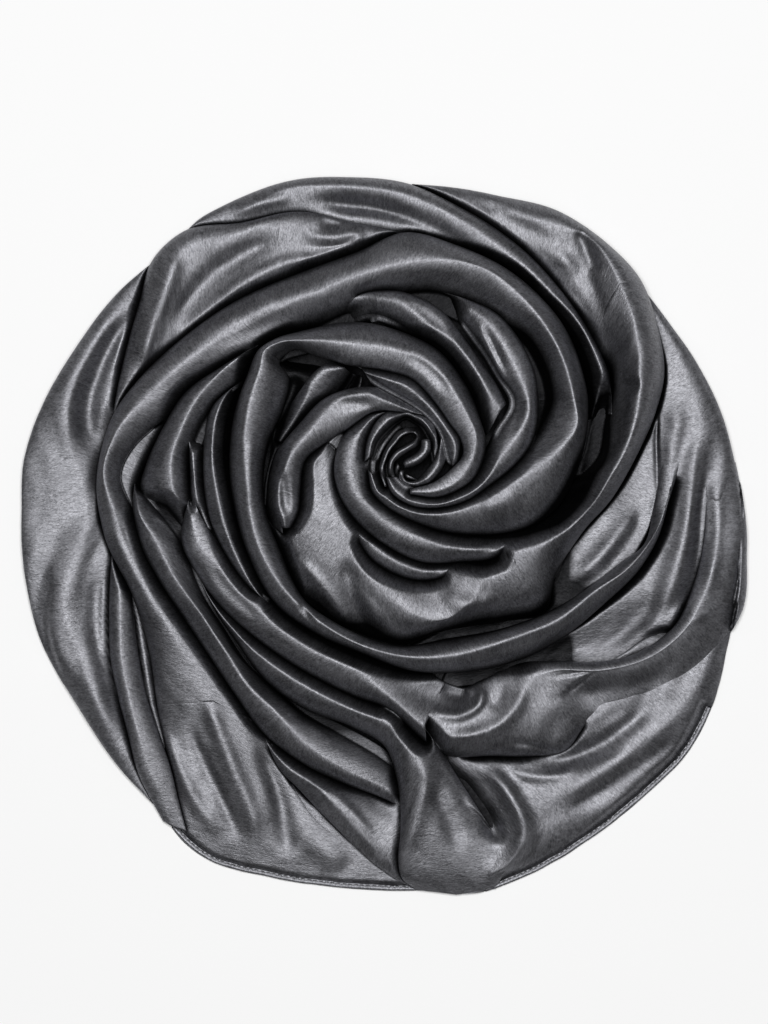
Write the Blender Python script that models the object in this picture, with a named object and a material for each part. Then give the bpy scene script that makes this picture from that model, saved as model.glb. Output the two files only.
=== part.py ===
"""Hijab: one square of satin, pinched at its middle and twisted into a round
rosette, lying flat.

The cloth is drawn as lengths.  A length is a strip of the cloth that runs along
one fold, and its table has a row for each section across that fold.  A row says
where the section's outer edge, its crest and its inner foot stand.  Plan
positions are in chart units (half a millimetre, y downwards) and heights are in
millimetres above the surface that the hijab lies on.

Each stretch of a length that shows becomes a wall of cloth.  Where another
stretch lies over it, the wall stops a seam's width short of that stretch's edge
and dips under it.  The layers that nothing shows are one rounded solid below.
"""
import math

import bmesh
import bpy
import numpy as np
from mathutils import Vector
from mathutils.geometry import delaunay_2d_cdt

# ---------------------------------------------------------------- named sizes
UNIT = 0.5                    # millimetres in one chart unit
CHART_CENTRE = (384.0, 534.0)  # chart position that becomes x = 0, y = 0
CLOTH = 1.2                   # thickness of a wall of cloth, mm
STEEP = 2.0                   # a wall's height at a lip, in cloth thicknesses
SEAM = 0.34                   # clear width between two stretches, mm
VALLEY = 1.25                 # valleys go this much further below the crests
UNDER = 0.8                   # how far a stretch dips under the one above it, mm
RISE = 1.6                    # steepest rise away from the stretch above it
FLOOR_GAP = 0.4               # lowest underside of a wall, mm
STATION = 23.5                # longest step along a fold, mm
TURN = math.radians(49)       # largest turn between two stations
EDGE_ANGLES = (90, 55, 24, 0)      # section angles, outer edge to crest
FOOT_ANGLES = (48, 90)              # section angles, crest to inner foot
SMALLEST = 40.0               # a scrap of wall below this area is left out, mm2
HEM_WIDTH = 3.8               # twice-turned hem, mm
HEM_RISE = 0.5                # how far the hem stands above its panel, mm
HEM_CLOTH = 1.7               # thickness of the three layers of a hem, mm
CORE_SIDES = 48
CORE_RINGS = (1.0, 0.955, 0.88, 0.78, 0.66, 0.52, 0.36, 0.18)
CORE_INSET = 1.6              # the hidden layers end this far inside a folded edge
CORE_INSET_HEM = 9.0          # and this far inside a hemmed edge
CORE_GAP = 0.3
MAP_SIZE = 480                # side of the square that the walls' undersides are charted in, mm

# roundness of a side: how the height falls from the crest to the edge
SIDES = {"lip": 2.0, "dive": 1.2, "hem": 1.0}

COLUMNS = "edge_x edge_y edge_z  crest_x crest_y crest_z  foot_x foot_y foot_z"

# name of the length -> (crest roundness, outer side, inner side,
#                        reach past the foot in chart units, table in COLUMNS order)
LENGTHS = {}

LENGTHS["left_panel"] = (1.8, "lip", "dive", 6, """
157 257 4.6 152 268 6.0 166 282 5.0
120 289 4.6 131 301 9.0 160 318 4.5
80 340 4.6 96 348 9.5 135 365 4.0
45 398 4.6 70 396 9.5 122 408 4.0
25 450 4.6 69 440 9.0 112 452 4.0
20 515 4.6 86 508 8.5 112 505 4.5
24 577 4.6 66 582 9.0 130 572 4.0
41 645 4.6 73 640 9.0 175 640 3.4
78 709 4.6 100 704 8.5 185 695 3.4
113 762 4.2 124 752 6.5 165 742 3.4
158 812 3.0 160 803 3.6 175 791 3.4
""")

LENGTHS["right_panel"] = (2.0, "lip", "dive", 70, """
637 278 4.6  641 290 7.0  640 305 7.0
670 322 4.6  664 330 8.5  645 340 8.0
700 366 4.6  685 378 11.0 645 395 10.0
722 412 4.6  695 425 12.5 635 430 10.0
736 463 4.6  694 470 12.5 622 455 9.0
742 505 4.6  690 515 12.0 600 495 8.0
740 545 4.6  680 550 11.5 580 530 7.0
736 592 4.6  668 595 11.0 545 590 6.5
726 630 4.6  655 625 10.0 480 640 6.0
715 665 4.6  630 648 8.0  450 668 5.5
700 700 4.0  610 668 6.5  440 690 5.0
""")

LENGTHS["lower_right_panel"] = (2.0, "hem", "dive", 26, """
425 891 3.0 425 880 6.0 420 850 8.0
462 895 3.0 465 875 5.5 462 830 5.0
486 893 2.0 504 863 6.5 468 802 3.6
507 886 1.8 523 842 7.5 450 766 3.6
539 872 1.8 543 815 8.5 446 742 5.0
590 841 1.8 568 795 9.0 520 735 8.0
638 804 1.8 613 770 9.5 570 720 9.0
688 755 1.8 655 735 9.5 615 690 10.0
713 709 1.9  690 695 9.0  650 665 10.0
738 604 2.6 720 610 5.0 698 622 6.0
""")

LENGTHS["lower_roll"] = (1.6, "lip", "lip", 0, """
189 499 14.0  191 501 16.0  194 502 15.0
183 520 12.0  193 523 18.0  204 521 16.0
181 541 12.0  200 545 19.5  217 540 16.5
196 573 13.0  225 573 20.5  246 560 17.0
222 608 13.0  252 604 21.0  275 590 17.0
255 638 13.0  284 630 21.5  305 612 17.0
300 669 13.0  322 652 22.0  345 634 17.0
352 696 13.0  362 673 22.0  385 650 17.0
392 712 12.0  398 702 21.5  425 668 16.0
425 742 10.0  424 724 20.0  445 682 14.0
446 756 8.0   450 735 19.0  462 688 12.0
490 757 7.0   490 727 19.0  478 682 11.0
535 757 7.5   518 704 18.5  498 673 12.0
565 752 8.5   530 681 19.0  522 663 13.0
590 720 9.5   556 671 19.0  553 661 14.0
625 705 10.0  600 671 18.0  595 662 13.0
665 690 9.5   645 660 16.5  635 654 11.5
705 665 8.0   680 636 15.0  672 629 10.0
743 612 4.6   703 600 14.0  690 595 9.0
748 553 4.6   716 553 12.5  702 555 9.5
745 503 4.6   722 502 11.4  707 503 10.6
737 462 4.6   720 464 10.8  706 468 11.4
""")

LENGTHS["right_roll"] = (1.7, "lip", "dive", 18, """
412 183 5.0   420 190 7.0   428 204 6.0
450 186 4.8 455 202 9.5 462 222 8.0
500 195 4.8 505 216 12.0 510 250 9.0
561 211 5.0 562 227 15.0 545 285 10.0
612 246 7.0 598 247 19.0 575 315 11.0
643 282 10.0 619 284 23.0 590 345 12.0
657 322 13.0  632 318 27.0  606 362 10.0
665 370 13.0  638 362 29.5  612 388 8.0
657 410 13.0  637 405 30.0  606 422 7.0
640 450 13.0  624 450 30.0  600 455 8.0
613 498 12.0  598 490 29.5  578 478 10.0
582 534 11.0  563 517 28.5  545 500 14.0
556 575 11.0  541 535 27.5  520 520 18.0
545 612 9.0   510 558 26.5  500 535 17.0
505 622 8.0   488 570 25.5  475 545 17.0
470 627 8.0   474 595 24.5  445 560 18.0
438 633 8.0   443 619 24.0  430 575 19.0
405 645 8.0   410 611 24.5  415 575 19.0
378 640 8.0   384 589 25.5  400 560 19.0
335 622 10.0  360 555 26.5  385 535 20.0
290 590 14.0  340 522 27.0  370 500 21.0
268 545 17.0  318 500 27.0  350 475 22.0
262 500 18.0  311 475 27.0  335 450 23.0
270 455 19.0  312 455 26.5  325 440 24.0
273 412 6.0   305 410 12.0  335 415 18.0
268 356 3.0   305 362 8.0   345 372 19.0
""")

LENGTHS["top_roll"] = (1.6, "lip", "dive", 8, """
184 232 4.6 187 235 6.0 192 243 5.0
199 218 4.6 206 223 7.0 216 238 5.4
222 205 4.6 234 213 9.0 242 232 6.0
280 182 4.6   284 190 10.5  285 225 7.0
345 176 4.8   350 187 12.0  350 235 7.0
410 183 6.0   408 196 13.5  400 245 8.0
460 206 8.5   450 215 15.0  432 252 9.0
515 242 10.0  505 252 16.0  480 272 10.0
560 288 11.0  552 297 17.0  528 300 12.0
593 337 12.0  585 341 18.0  560 340 13.0
611 382 13.0  601 385 18.0  578 390 14.0
612 415 14.0  604 413 17.0  588 420 14.0
""")

LENGTHS["upper_left_panel"] = (1.8, "lip", "dive", 8, """
425 237 12.0  415 241 13.5  408 255 11.0
360 224 11.0  355 236 14.0  352 268 10.0
300 211 10.0  300 226 13.5  300 285 10.0
240 222 9.0   238 234 13.0  240 312 9.0
182 231 6.5   189 248 12.0  205 335 8.0
150 262 6.0   171 278 12.5  180 355 8.0
139 300 6.0   158 310 12.5  165 372 7.0
127 342 6.0   146 350 12.0  150 392 6.0
117 385 5.5   130 385 10.0  140 410 6.0
111 425 5.0   118 422 8.0   130 435 5.0
""")

LENGTHS["left_narrow_roll"] = (1.5, "lip", "lip", 0, """
112 545 8.0   117 552 11.0  126 556 8.0
109 580 6.5   119 582 11.0  130 588 7.0
108 620 6.0   120 622 11.5  134 622 6.0
109 655 6.0   121 655 11.5  138 655 6.0
117 697 6.0   129 697 11.0  147 700 6.0
127 735 6.0   138 733 10.5  159 735 5.5
138 776 5.0 150 772 9.0 171 771 5.0
150 800 3.5 162 800 6.5 178 802 4.0
162 822 2.2 172 828 3.8 186 833 3.0
""")

LENGTHS["main_roll"] = (1.6, "lip", "dive", 22, """
368 470 26.0  373 475 29.0  378 470 27.0
372 492 25.0  380 492 29.5  386 486 27.0
388 508 25.0  395 503 29.5  400 496 27.0
410 520 23.0  416 511 29.5  418 503 27.0
445 532 20.0  445 513 29.5  443 502 27.0
490 535 18.0  478 505 30.0  466 494 27.0
530 527 17.0  510 486 30.5  492 478 27.0
560 505 13.0  540 465 31.0  515 462 26.0
578 470 11.0  562 446 31.0  530 450 25.0
587 435 10.0  576 424 31.0  540 425 20.0
589 405 10.0  573 400 30.5  546 400 15.0
584 372 10.0  563 362 30.0  540 370 13.0
570 335 11.0  548 332 29.0  524 342 12.0
546 302 14.0  524 301 28.0  496 322 16.0
505 267 13.0  490 273 27.0  465 302 15.0
455 244 12.5  450 261 26.0  430 292 15.0
405 232 13.0  403 264 24.5  385 298 14.0
355 252 12.0  350 279 22.5  348 312 13.0
300 272 11.0  300 300 21.0  310 330 13.0
240 298 10.5  250 325 20.0  268 345 14.0
190 331 10.0  200 352 19.5  222 368 14.0
137 380 9.5   155 390 19.0  190 400 13.5
104 436 9.0   115 436 18.5  132 448 11.5
96  476 9.0   104 468 18.0  120 474 11.0
102 530 9.0   118 522 17.0  137 518 11.0
132 597 8.0   151 594 16.5  172 592 11.0
149 655 4.5   188 661 14.5  228 668 9.5
156 705 3.6   214 702 12.5  256 722 8.5
166 755 3.4   238 752 10.0  290 782 6.0
175 798 2.8   248 800 7.5   320 825 5.0
171 829 1.8 244 873 1.8 420 892 1.8
""")

LENGTHS["left_inner_roll"] = (1.5, "lip", "dive", 10, """
258 345 17.0  252 348 20.0  262 352 18.0
222 366 14.0  222 371 20.5  240 378 16.0
185 392 12.5  198 398 21.0  216 403 15.0
160 432 11.0  182 428 21.0  196 436 14.0
145 465 8.0   171 462 20.5  188 466 14.0
139 490 6.0   173 488 20.0  189 490 14.0
148 512 6.0   180 508 18.5  190 512 13.0
172 532 8.0   186 526 15.5  192 530 12.0
""")

LENGTHS["left_lower_roll"] = (1.5, "lip", "dive", 16, """
134 484 10.0  136 487 12.0  141 492 8.0
132 507 11.0  140 513 17.5  163 518 11.0
140 543 11.0  155 539 18.5  182 545 12.0
157 578 10.0  171 571 18.0  200 590 11.0
183 618 9.5   199 611 17.5  226 632 9.0
209 657 9.0   225 647 17.0  248 665 7.0
235 696 8.0   251 683 16.5  276 690 6.0
262 733 7.0   280 716 16.0  305 715 5.5
305 766 6.5   309 746 15.0  345 738 5.0
345 785 6.5   345 769 13.5  385 762 5.0
380 798 6.0   384 788 11.0  402 780 6.0
402 808 5.0   404 801 8.0   408 796 5.0
""")

LENGTHS["petal_side"] = (1.7, "lip", "soft", 10, """
264 738 7.0   268 742 10.0  275 740 8.0
278 768 7.0   290 762 12.0  310 758 7.0
300 792 6.5   318 785 12.5  345 775 6.0
335 828 6.0   346 812 12.0  380 795 6.5
368 860 5.0   374 838 11.0  405 815 9.0
392 878 4.0   400 855 10.0  430 835 10.0
417 891 3.0 424 874 8.0 450 857 9.0
""")

LENGTHS["petal"] = (1.7, "lip", "dive", 0, """
196 572 12.0  202 573 15.0  210 570 13.0
212 606 11.0  225 606 17.0  240 598 14.0
236 642 9.5   250 640 18.0  266 628 14.0
265 681 8.5   285 668 18.5  300 652 14.0
305 710 8.0   322 691 19.0  335 672 15.0
350 727 7.5   360 708 19.5  375 690 15.0
385 748 7.0   393 727 19.5  412 712 14.0
396 778 7.5   415 752 18.5  437 745 11.0
400 806 9.0   425 780 17.0  458 778 8.0
400 835 10.0  418 815 14.5  482 815 7.0
398 862 8.0   416 845 12.0  500 845 7.0
402 880 5.0 432 874 8.0 506 868 6.5
417 891 2.8 457 896 2.8 496 890 2.6
""")

LENGTHS["left_strip"] = (1.6, "lip", "dive", 4, """
189 438 15.0  191 440 16.5  196 440 15.5
189 456 14.0  193 456 18.0  203 457 15.0
190 476 13.5  195 475 18.5  206 478 15.0
191 496 13.5  198 495 18.5  210 498 15.0
196 513 13.5  202 513 18.0  214 512 15.0
204 532 13.5  208 531 16.0  216 529 14.5
""")

LENGTHS["left_sheet"] = (1.7, "lip", "dive", 4, """
242 380 18.0  244 384 20.0  250 384 19.0
214 404 16.0  226 405 21.0  245 405 19.0
204 440 15.0  216 445 21.0  240 440 19.0
203 475 15.0  219 475 21.0  238 475 18.5
207 508 15.0  226 505 21.0  246 505 18.0
222 548 15.0  240 545 20.5  256 545 17.0
250 588 15.0  257 583 19.0  272 580 17.0
268 602 16.0  270 600 18.0  280 598 17.0
""")

LENGTHS["crown_roll"] = (1.6, "lip", "lip", 0, """
410 494.5 27.2  410 492 29.2  410 489 27.6
437 497.5 27.0  434.5 491 30.6  431 483 28.4
468 484 26.0  460 478 31.0  450 470 28.5
480 468 25.0  473 455 31.5  462 455 28.0
486 445 23.0  475 435 32.0  460 440 28.0
478 412 21.0  466 414 32.0  450 425 28.0
463 380 20.0  448 385 32.0  432 400 27.5
438 350 19.0  425 363 32.0  412 380 27.0
400 331 18.0  395 351 31.5  388 372 26.5
350 322 17.0  352 345 31.0  345 365 25.0
300 331 15.0  312 341 30.5  318 357 21.0
272 340 15.0  280 343 30.0  292 351 19.0
258 350 15.0  266 350 29.5  280 362 17.0
246 377 14.0  261 368 29.0  290 379 15.0
235 408 13.5  251 400 28.0  284 408 15.0
229 448 13.5  245 445 27.0  268 448 15.0
232 497 15.5  249 500 26.0  264 500 17.0
248 555 15.0  261 550 25.5  281 552 16.0
278 607 14.5  290 595 25.0  305 600 16.0
318 635 14.0  325 625 25.0  335 622 16.0
360 653 13.5  362 645 25.0  368 638 16.0
410 671 12.5  407 656 25.0  402 646 15.0
461 672 11.5  458 654 25.0  450 638 13.0
515 662 10.5  510 639 24.5  500 629 12.0
560 640 10.0  558 619 24.0  546 613 12.0
603 606 9.5   598 588 23.0  585 590 13.0
640 570 9.0   632 564 21.5  620 563 14.0
658 540 9.0   654 534 20.0  644 544 14.0
670 500 10.0  668 500 17.5  655 500 14.0
683 458 12.0  676 462 15.0  664 462 13.0
692 432 12.4  686 437 12.9  678 440 12.4
""")

LENGTHS["upper_inner_fold"] = (1.7, "lip", "dive", 8, """
338 306 14.0 342 312 15.5 346 320 14.0
368 292 16.5 372 300 19.5 374 314 16.0
398 291 17.5 396 302 23.0 392 320 18.0
425 300 18.5 418 313 25.0 408 330 19.0
447 316 19.5 436 332 26.5 426 348 20.0
465 340 20.5 455 357 27.5 444 372 21.0
482 364 21.5 474 376 28.0 460 395 22.0
497 386 22.0 489 396 28.0 474 418 22.5
506 404 22.5 500 411 27.0 486 436 23.0
""")

LENGTHS["right_inner_roll"] = (1.7, "lip", "dive", 6, """
440 291 18.5 447 295 19.5 452 303 18.5
468 300 19.5 466 308 22.5 462 320 19.5
494 312 20.5 486 322 26.0 474 336 21.0
514 332 21.0 501 342 27.5 488 356 22.0
528 356 21.5 513 364 28.0 500 376 23.0
536 380 22.0 523 386 28.5 512 393 24.0
538 412 22.0 528 410 30.0 514 408 25.5
530 445 24.0  516 436 31.0  500 432 27.0
512 468 25.0  501 456 31.5  488 455 28.0
490 485 26.0  484 477 31.5  474 470 28.5
468 500 27.0  465 492 31.0  458 484 29.0
440 508 27.0  440 503 30.5  440 496 29.0
412 506 27.0  414 502 30.0  418 495 28.5
391 492.5 27.0  395 490.5 29.8  400 487 28.2
385.5 477 26.6  388 477.5 28.6  390.8 477 27.2
""")

LENGTHS["crown_lining"] = (1.6, "lip", "dive", 5, """
352 364 25.0  362 369 29.0  365 374 27.0
385 370 26.0  385 377 30.5  380 384 27.0
415 378 26.0  408 386 31.0  398 394 27.5
438 392 26.0  428 397 31.0  415 404 27.5
452 410 26.0  444 413 31.0  430 416 28.0
460 435 26.0  454 434 31.0  442 432 28.0
457 468 26.2  454 467 28.8  451 465.5 26.8
""")

LENGTHS["tucked_edge"] = (2.0, "lip", "dive", 4, """
334 359 25.0  338 363 26.5  352 374 19.0
316 371 23.0  321 375 25.5  345 386 17.0
302 388 21.0  307 391 24.5  332 400 17.0
288 409 20.5  292 412 23.5  316 418 17.0
276 430 20.0  281 432 22.5  299 438 18.0
274 440 19.5  278 441 21.0  288 446 18.0
""")

LENGTHS["heart_petal"] = (1.7, "lip", "lip", 0, """
436 410 26.6  435 413 28.4  434 416.5 27.0
395 390 25.0  400 398 30.5  398 412 27.5
355 388 24.0  365 395 31.0  372 413 27.0
325 398 22.0  340 402 30.5  347 430 26.0
298 425 20.0  312 430 29.5  322 446 24.0
275 455 19.0  292 455 28.5  305 462 22.0
267 490 18.0  280 483 27.5  301 490 20.0
270 522 18.0  275 512 26.5  298 515 20.0
283 534 18.0  282 528 25.0  291 528 20.0
""")

LENGTHS["ring_roll"] = (1.7, "lip", "dive", 8, """
392 411 27.0  390 416 29.5  398 424 27.0
362 418 26.0  370 424 30.0  385 440 26.0
342 438 25.0  356 440 30.5  372 455 25.5
334 465 25.0  350 463 30.5  370 472 25.5
338 492 24.0  355 490 30.0  378 492 25.0
355 520 22.0  373 511 29.5  395 508 25.0
385 545 20.0  397 527 28.5  415 518 24.0
420 562 18.0  425 538 27.5  440 525 23.0
460 562 17.0  458 543 26.5  470 528 21.0
495 558 16.0  488 545 25.0  495 532 20.0
512 545 17.0  505 542 23.0  510 534 20.0
""")

LENGTHS["ring_band"] = (1.8, "lip", "dive", 4, """
352 530 21.0  358 534 23.0  362 528 22.0
372 560 18.0  378 548 22.0  384 540 21.0
405 578 16.0  405 562 21.0  410 550 19.0
440 578 15.0  440 570 19.0  450 556 17.0
455 572 15.0  455 568 17.0  460 562 16.0
""")

LENGTHS["heart_rim"] = (1.8, "lip", "dive", 3, """
364 462 26.0  369 458 28.5  372 458 24.0
367 440 26.5  373 440 29.5  377 442 23.5
376 422 27.0  382 427 30.0  386 431 23.0
392 409 27.0  395 416 30.0  398 421 22.5
406 403 27.0  406 411 30.3  406 417 22.5
421 408 27.0  418 416 30.3  416 422 22.5
432 420 27.0  427 424 30.3  423.5 428 23.5
436 431.5 26.5  432 434 30.3  428.5 436.5 24.0
438 445.5 26.5  434.5 447 30.2  431.5 448 24.5
440 456.5 26.5  437 458.5 30.0  434 460.5 25.0
441.5 465 26.5  438.5 466.5 29.0  435.5 468 26.0
""")

LENGTHS["heart_loop"] = (1.8, "lip", "lip", 0, """
385 487 26.0  387 486 28.5  389 485 25.0
380 470 26.0  382 470 30.0  384.5 470 24.5
385 451 26.0  387 452 30.3  389.5 453.5 23.5
391.5 440.5 26.0  394 442 30.4  396.5 444 22.5
398 432 26.0  400 434.5 30.5  402 437 22.0
407.5 428.5 26.0  408 431 30.5  408 434 22.0
417.5 428.5 26.0  416 431 30.5  414 433.5 22.0
421.5 436 26.0  419 436.5 30.5  416.5 436.5 22.0
419.5 443.5 26.0  417.5 441.5 30.5  415 439.5 22.5
409.5 450.5 26.0  408 448 30.5  406.5 445 23.0
400 457 26.0  397 454.5 30.5  394 452 23.0
393.5 463 26.0  391 463 30.3  388.5 462 24.5
393 471 26.0  390.5 471 30.2  388 471.5 25.0
395.5 477 26.0  393 478 30.0  390.5 479.5 25.0
399.5 482 26.0  398 484.5 30.0  396.5 487 25.0
407 488 26.0  406 490.5 30.0  405 493.5 25.0
419 491.5 26.0  419 494 29.8  418.5 497 25.5
434 490.5 26.0  435 493 29.3  436 496 25.5
""")

LENGTHS["heart_core"] = (1.8, "lip", "lip", 0, """
404 470 26.0  402 470 29.5  400 470 25.0
403 476 25.5  400.8 476 30.0  398.8 477 26.0
405.5 480.5 25.0  403.5 482 30.0  402 484.5 26.5
411 482 25.0  410.5 485 30.2  410 487.5 26.5
417.5 480.5 26.0  419 485 30.2  421 488.5 26.0
423.5 474.5 26.5  427.5 478.5 30.3  431 482 26.0
431 465.5 27.0  435 469 30.2  439 472.5 26.5
436.5 456.5 27.0  440.5 458.5 30.2  445 460.5 27.0
440 446 27.0  444 446.5 30.0  448.5 447 27.0
440.5 437 27.0  444 437 29.6  448.5 436.5 27.0
438 431 27.0  441 430 29.0  445 428 27.0
""")

LENGTHS["heart_tip"] = (2.0, "lip", "lip", 0, """
421 440.5 26.5  426.5 439.5 29.5  430.5 440.5 26.5
420 448.5 26.0  426 449.5 30.3  430.5 451.5 26.0
414.5 453.5 26.0  419.5 457.5 30.3  423 461.5 25.5
407.5 457.5 26.0  410.5 462.5 29.8  412.5 467 25.5
402.5 461 26.0  404 465 28.8  405.5 469 26.0
""")

# length -> (row where the bow starts, bow outside the crest, bow inside it), chart units
BOWS = {"main_roll": (27, 9.0, 6.0)}

# stretches that show, bottom to top: name, length, first row, last row
STACK = [
 ("left_panel", "left_panel", 0, 10),
 ("right_panel", "right_panel", 0, 10),
 ("lower_right_panel", "lower_right_panel", 0, 9),
 ("s_fold", "lower_roll", 9, 21),
 ("upper_right_panel", "right_roll", 0, 5),
 ("right_roll", "right_roll", 5, 13),
 ("cradle_fold", "right_roll", 13, 25),
 ("top_roll", "top_roll", 0, 11),
 ("upper_left_panel", "upper_left_panel", 0, 9),
 ("narrow_roll_top", "left_narrow_roll", 0, 2),
 ("lower_left_skirt", "main_roll", 27, 30),
 ("left_narrow_roll", "left_narrow_roll", 2, 8),
 ("petal_side", "petal_side", 0, 6),
 ("left_sweep", "main_roll", 23, 27),
 ("main_roll", "main_roll", 10, 23),
 ("ring_band", "ring_band", 0, 4),
 ("ring_roll", "ring_roll", 0, 10),
 ("inner_sweep", "main_roll", 0, 10),
 ("left_inner_roll", "left_inner_roll", 0, 7),
 ("left_lower_roll", "left_lower_roll", 0, 11),
 ("petal", "petal", 0, 12),
 ("left_strip", "left_strip", 0, 5),
 ("lower_roll", "lower_roll", 0, 9),
 ("left_sheet", "left_sheet", 0, 7),
 ("upper_inner_fold", "upper_inner_fold", 0, 8),
 ("upper_inner_sheet", "right_inner_roll", 0, 5),
 ("tucked_edge", "tucked_edge", 0, 5),
 ("heart_loop", "heart_loop", 0, 17),
 ("heart_rim", "heart_rim", 0, 10),
 ("heart_core", "heart_core", 0, 10),
 ("heart_tip", "heart_tip", 0, 4),
 ("right_inner_roll", "right_inner_roll", 5, 14),
 ("heart_petal", "heart_petal", 0, 8),
 ("crown_lining", "crown_lining", 0, 6),
 ("lower_right_roll", "crown_roll", 21, 30),
 ("inner_left_roll", "crown_roll", 12, 21),
 ("crown_roll", "crown_roll", 0, 12),
]

# hem, panel that it edges, rows of the panel's outer edge (or None and its last row)
HEMS = [
    ("hem_lower_right", "lower_right_panel", 2.0, 8.0),
    ("hem_lower_left", "lower_left_skirt", None, 30),
]


# ------------------------------------------------------------------ one length
class Length:
    """A strip of cloth along one fold, from its table."""

    def __init__(self, name):
        self.roundness, self.outer, self.inner, self.reach, text = LENGTHS[name]
        self.rows = np.array([[float(v) for v in line.split()]
                              for line in text.strip().splitlines()])
        self.rows[:, 0::3] = (self.rows[:, 0::3] - CHART_CENTRE[0]) * UNIT
        self.rows[:, 1::3] = (CHART_CENTRE[1] - self.rows[:, 1::3]) * UNIT
        for side in (2, 8):
            low, crest = self.rows[:, side], self.rows[:, 5]
            self.rows[:, side] = np.where(low > 5.0, np.maximum(crest - (crest - low) * VALLEY, 3.0), low)
        self.bow = BOWS.get(name)

    def between(self, t):
        """Sections at positions t, counted in rows, on a smooth curve through them."""
        n = len(self.rows)
        points = self.rows.reshape(n, 3, 3)
        step = np.sqrt((np.diff(points[:, :, :2], axis=0) ** 2).sum(2)).mean(1) + 1e-6
        slope = np.diff(self.rows, axis=0) / step[:, None]
        tangent = np.zeros_like(self.rows)
        tangent[0], tangent[-1] = slope[0], slope[-1]
        for i in range(1, n - 1):
            tangent[i] = ((slope[i - 1] * step[i] + slope[i] * step[i - 1])
                          / (step[i] + step[i - 1]))
        k = np.clip(np.floor(t).astype(int), 0, n - 2)
        u, h = (t - k)[:, None], step[k][:, None]
        return ((2 * u ** 3 - 3 * u ** 2 + 1) * self.rows[k]
                + (u ** 3 - 2 * u ** 2 + u) * tangent[k] * h
                + (-2 * u ** 3 + 3 * u ** 2) * self.rows[k + 1]
                + (u ** 3 - u ** 2) * tangent[k + 1] * h)

    def stations(self, first, last):
        """Positions along the length: close where it is long or turns quickly."""
        points = self.rows.reshape(len(self.rows), 3, 3)[:, :, :2]
        spots = [float(first)]
        for i in range(first, last):
            far = np.linalg.norm(points[i + 1] - points[i], axis=1).max()
            fine = self.between(np.linspace(i, i + 1, 9))[:, 3:5]
            d = np.diff(fine, axis=0)
            heading = np.unwrap(np.arctan2(d[:, 1], d[:, 0]))
            turn = abs(heading[-1] - heading[0])
            parts = max(1, math.ceil(far / STATION), math.ceil(turn / TURN))
            spots += [i + (j + 1) / parts for j in range(parts)]
        return np.array(spots)

    def surface(self, t, edge_angles=EDGE_ANGLES, foot_angles=FOOT_ANGLES):
        """Grid of points: a row for each station, from outer edge over crest to foot."""
        s = self.between(t)
        edge, crest, foot = s[:, 0:3], s[:, 3:6], s[:, 6:9]
        columns = []
        for end, style, angles in ((edge, self.outer, edge_angles),
                                   (foot, self.inner, foot_angles)):
            for degrees in angles:
                a = math.radians(degrees)
                if style == "soft":
                    out, up = degrees / 90, 0.5 + 0.5 * math.cos(math.pi * degrees / 90)
                else:
                    out = math.sin(a) ** (2 / self.roundness)
                    up = max(math.cos(a), 0.0) ** (2 / SIDES[style])
                plan = crest[:, :2] + (end[:, :2] - crest[:, :2]) * out
                if self.bow:
                    plan = plan + self.bowed(t, crest, end, out, end is edge)
                height = end[:, 2] + (crest[:, 2] - end[:, 2]) * up
                columns.append(np.column_stack([plan, height]))
        if self.reach:
            out = foot[:, :2] - crest[:, :2]
            out /= np.maximum(np.linalg.norm(out, axis=1), 1e-6)[:, None]
            columns.append(np.column_stack([foot[:, :2] + out * self.reach * UNIT,
                                            foot[:, 2] - 0.6]))
        return np.stack(columns, axis=1)

    def bowed(self, t, crest, end, out, outer):
        """How far the last sections curve outwards between their three points."""
        start, edge_bow, foot_bow = self.bow
        ramp = np.clip((t - start) / (len(self.rows) - 1 - start), 0, 1) ** 2
        across = end[:, :2] - crest[:, :2]
        across /= np.maximum(np.linalg.norm(across, axis=1), 1e-6)[:, None]
        ahead = np.column_stack([-across[:, 1], across[:, 0]]) * (1 if outer else -1)
        size = (edge_bow if outer else foot_bow) * UNIT * 4 * out * (1 - out)
        return ahead * (ramp * size)[:, None]


# ------------------------------------------------------------- plan geometry
def round_trip(grid):
    """Outline of a grid of sections, anticlockwise, without doubled points."""
    ring = np.concatenate([grid[:, 0], grid[-1, 1:], grid[-2::-1, -1], grid[0, -2:0:-1]])
    keep = [0]
    for i in range(1, len(ring)):
        if np.linalg.norm(ring[i, :2] - ring[keep[-1], :2]) > 0.15:
            keep.append(i)
    if np.linalg.norm(ring[keep[-1], :2] - ring[0, :2]) < 0.15:
        keep.pop()
    ring = ring[keep]
    x, y = ring[:, 0], ring[:, 1]
    if (x * np.roll(y, -1) - np.roll(x, -1) * y).sum() < 0:
        ring = ring[::-1]
    return ring


def grown(ring, by):
    """The same outline moved outwards; by is one distance, or one for each point."""
    before, after = np.roll(ring[:, :2], 1, axis=0), np.roll(ring[:, :2], -1, axis=0)
    a, b = ring[:, :2] - before, after - ring[:, :2]
    na = np.column_stack([a[:, 1], -a[:, 0]]) / np.linalg.norm(a, axis=1)[:, None]
    nb = np.column_stack([b[:, 1], -b[:, 0]]) / np.linalg.norm(b, axis=1)[:, None]
    m = na + nb
    m /= np.maximum(np.linalg.norm(m, axis=1), 1e-6)[:, None]
    corner = np.clip((m * na).sum(1), 0.55, 1.0)
    return ring[:, :2] + m * (np.asarray(by) / corner)[:, None]


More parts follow.
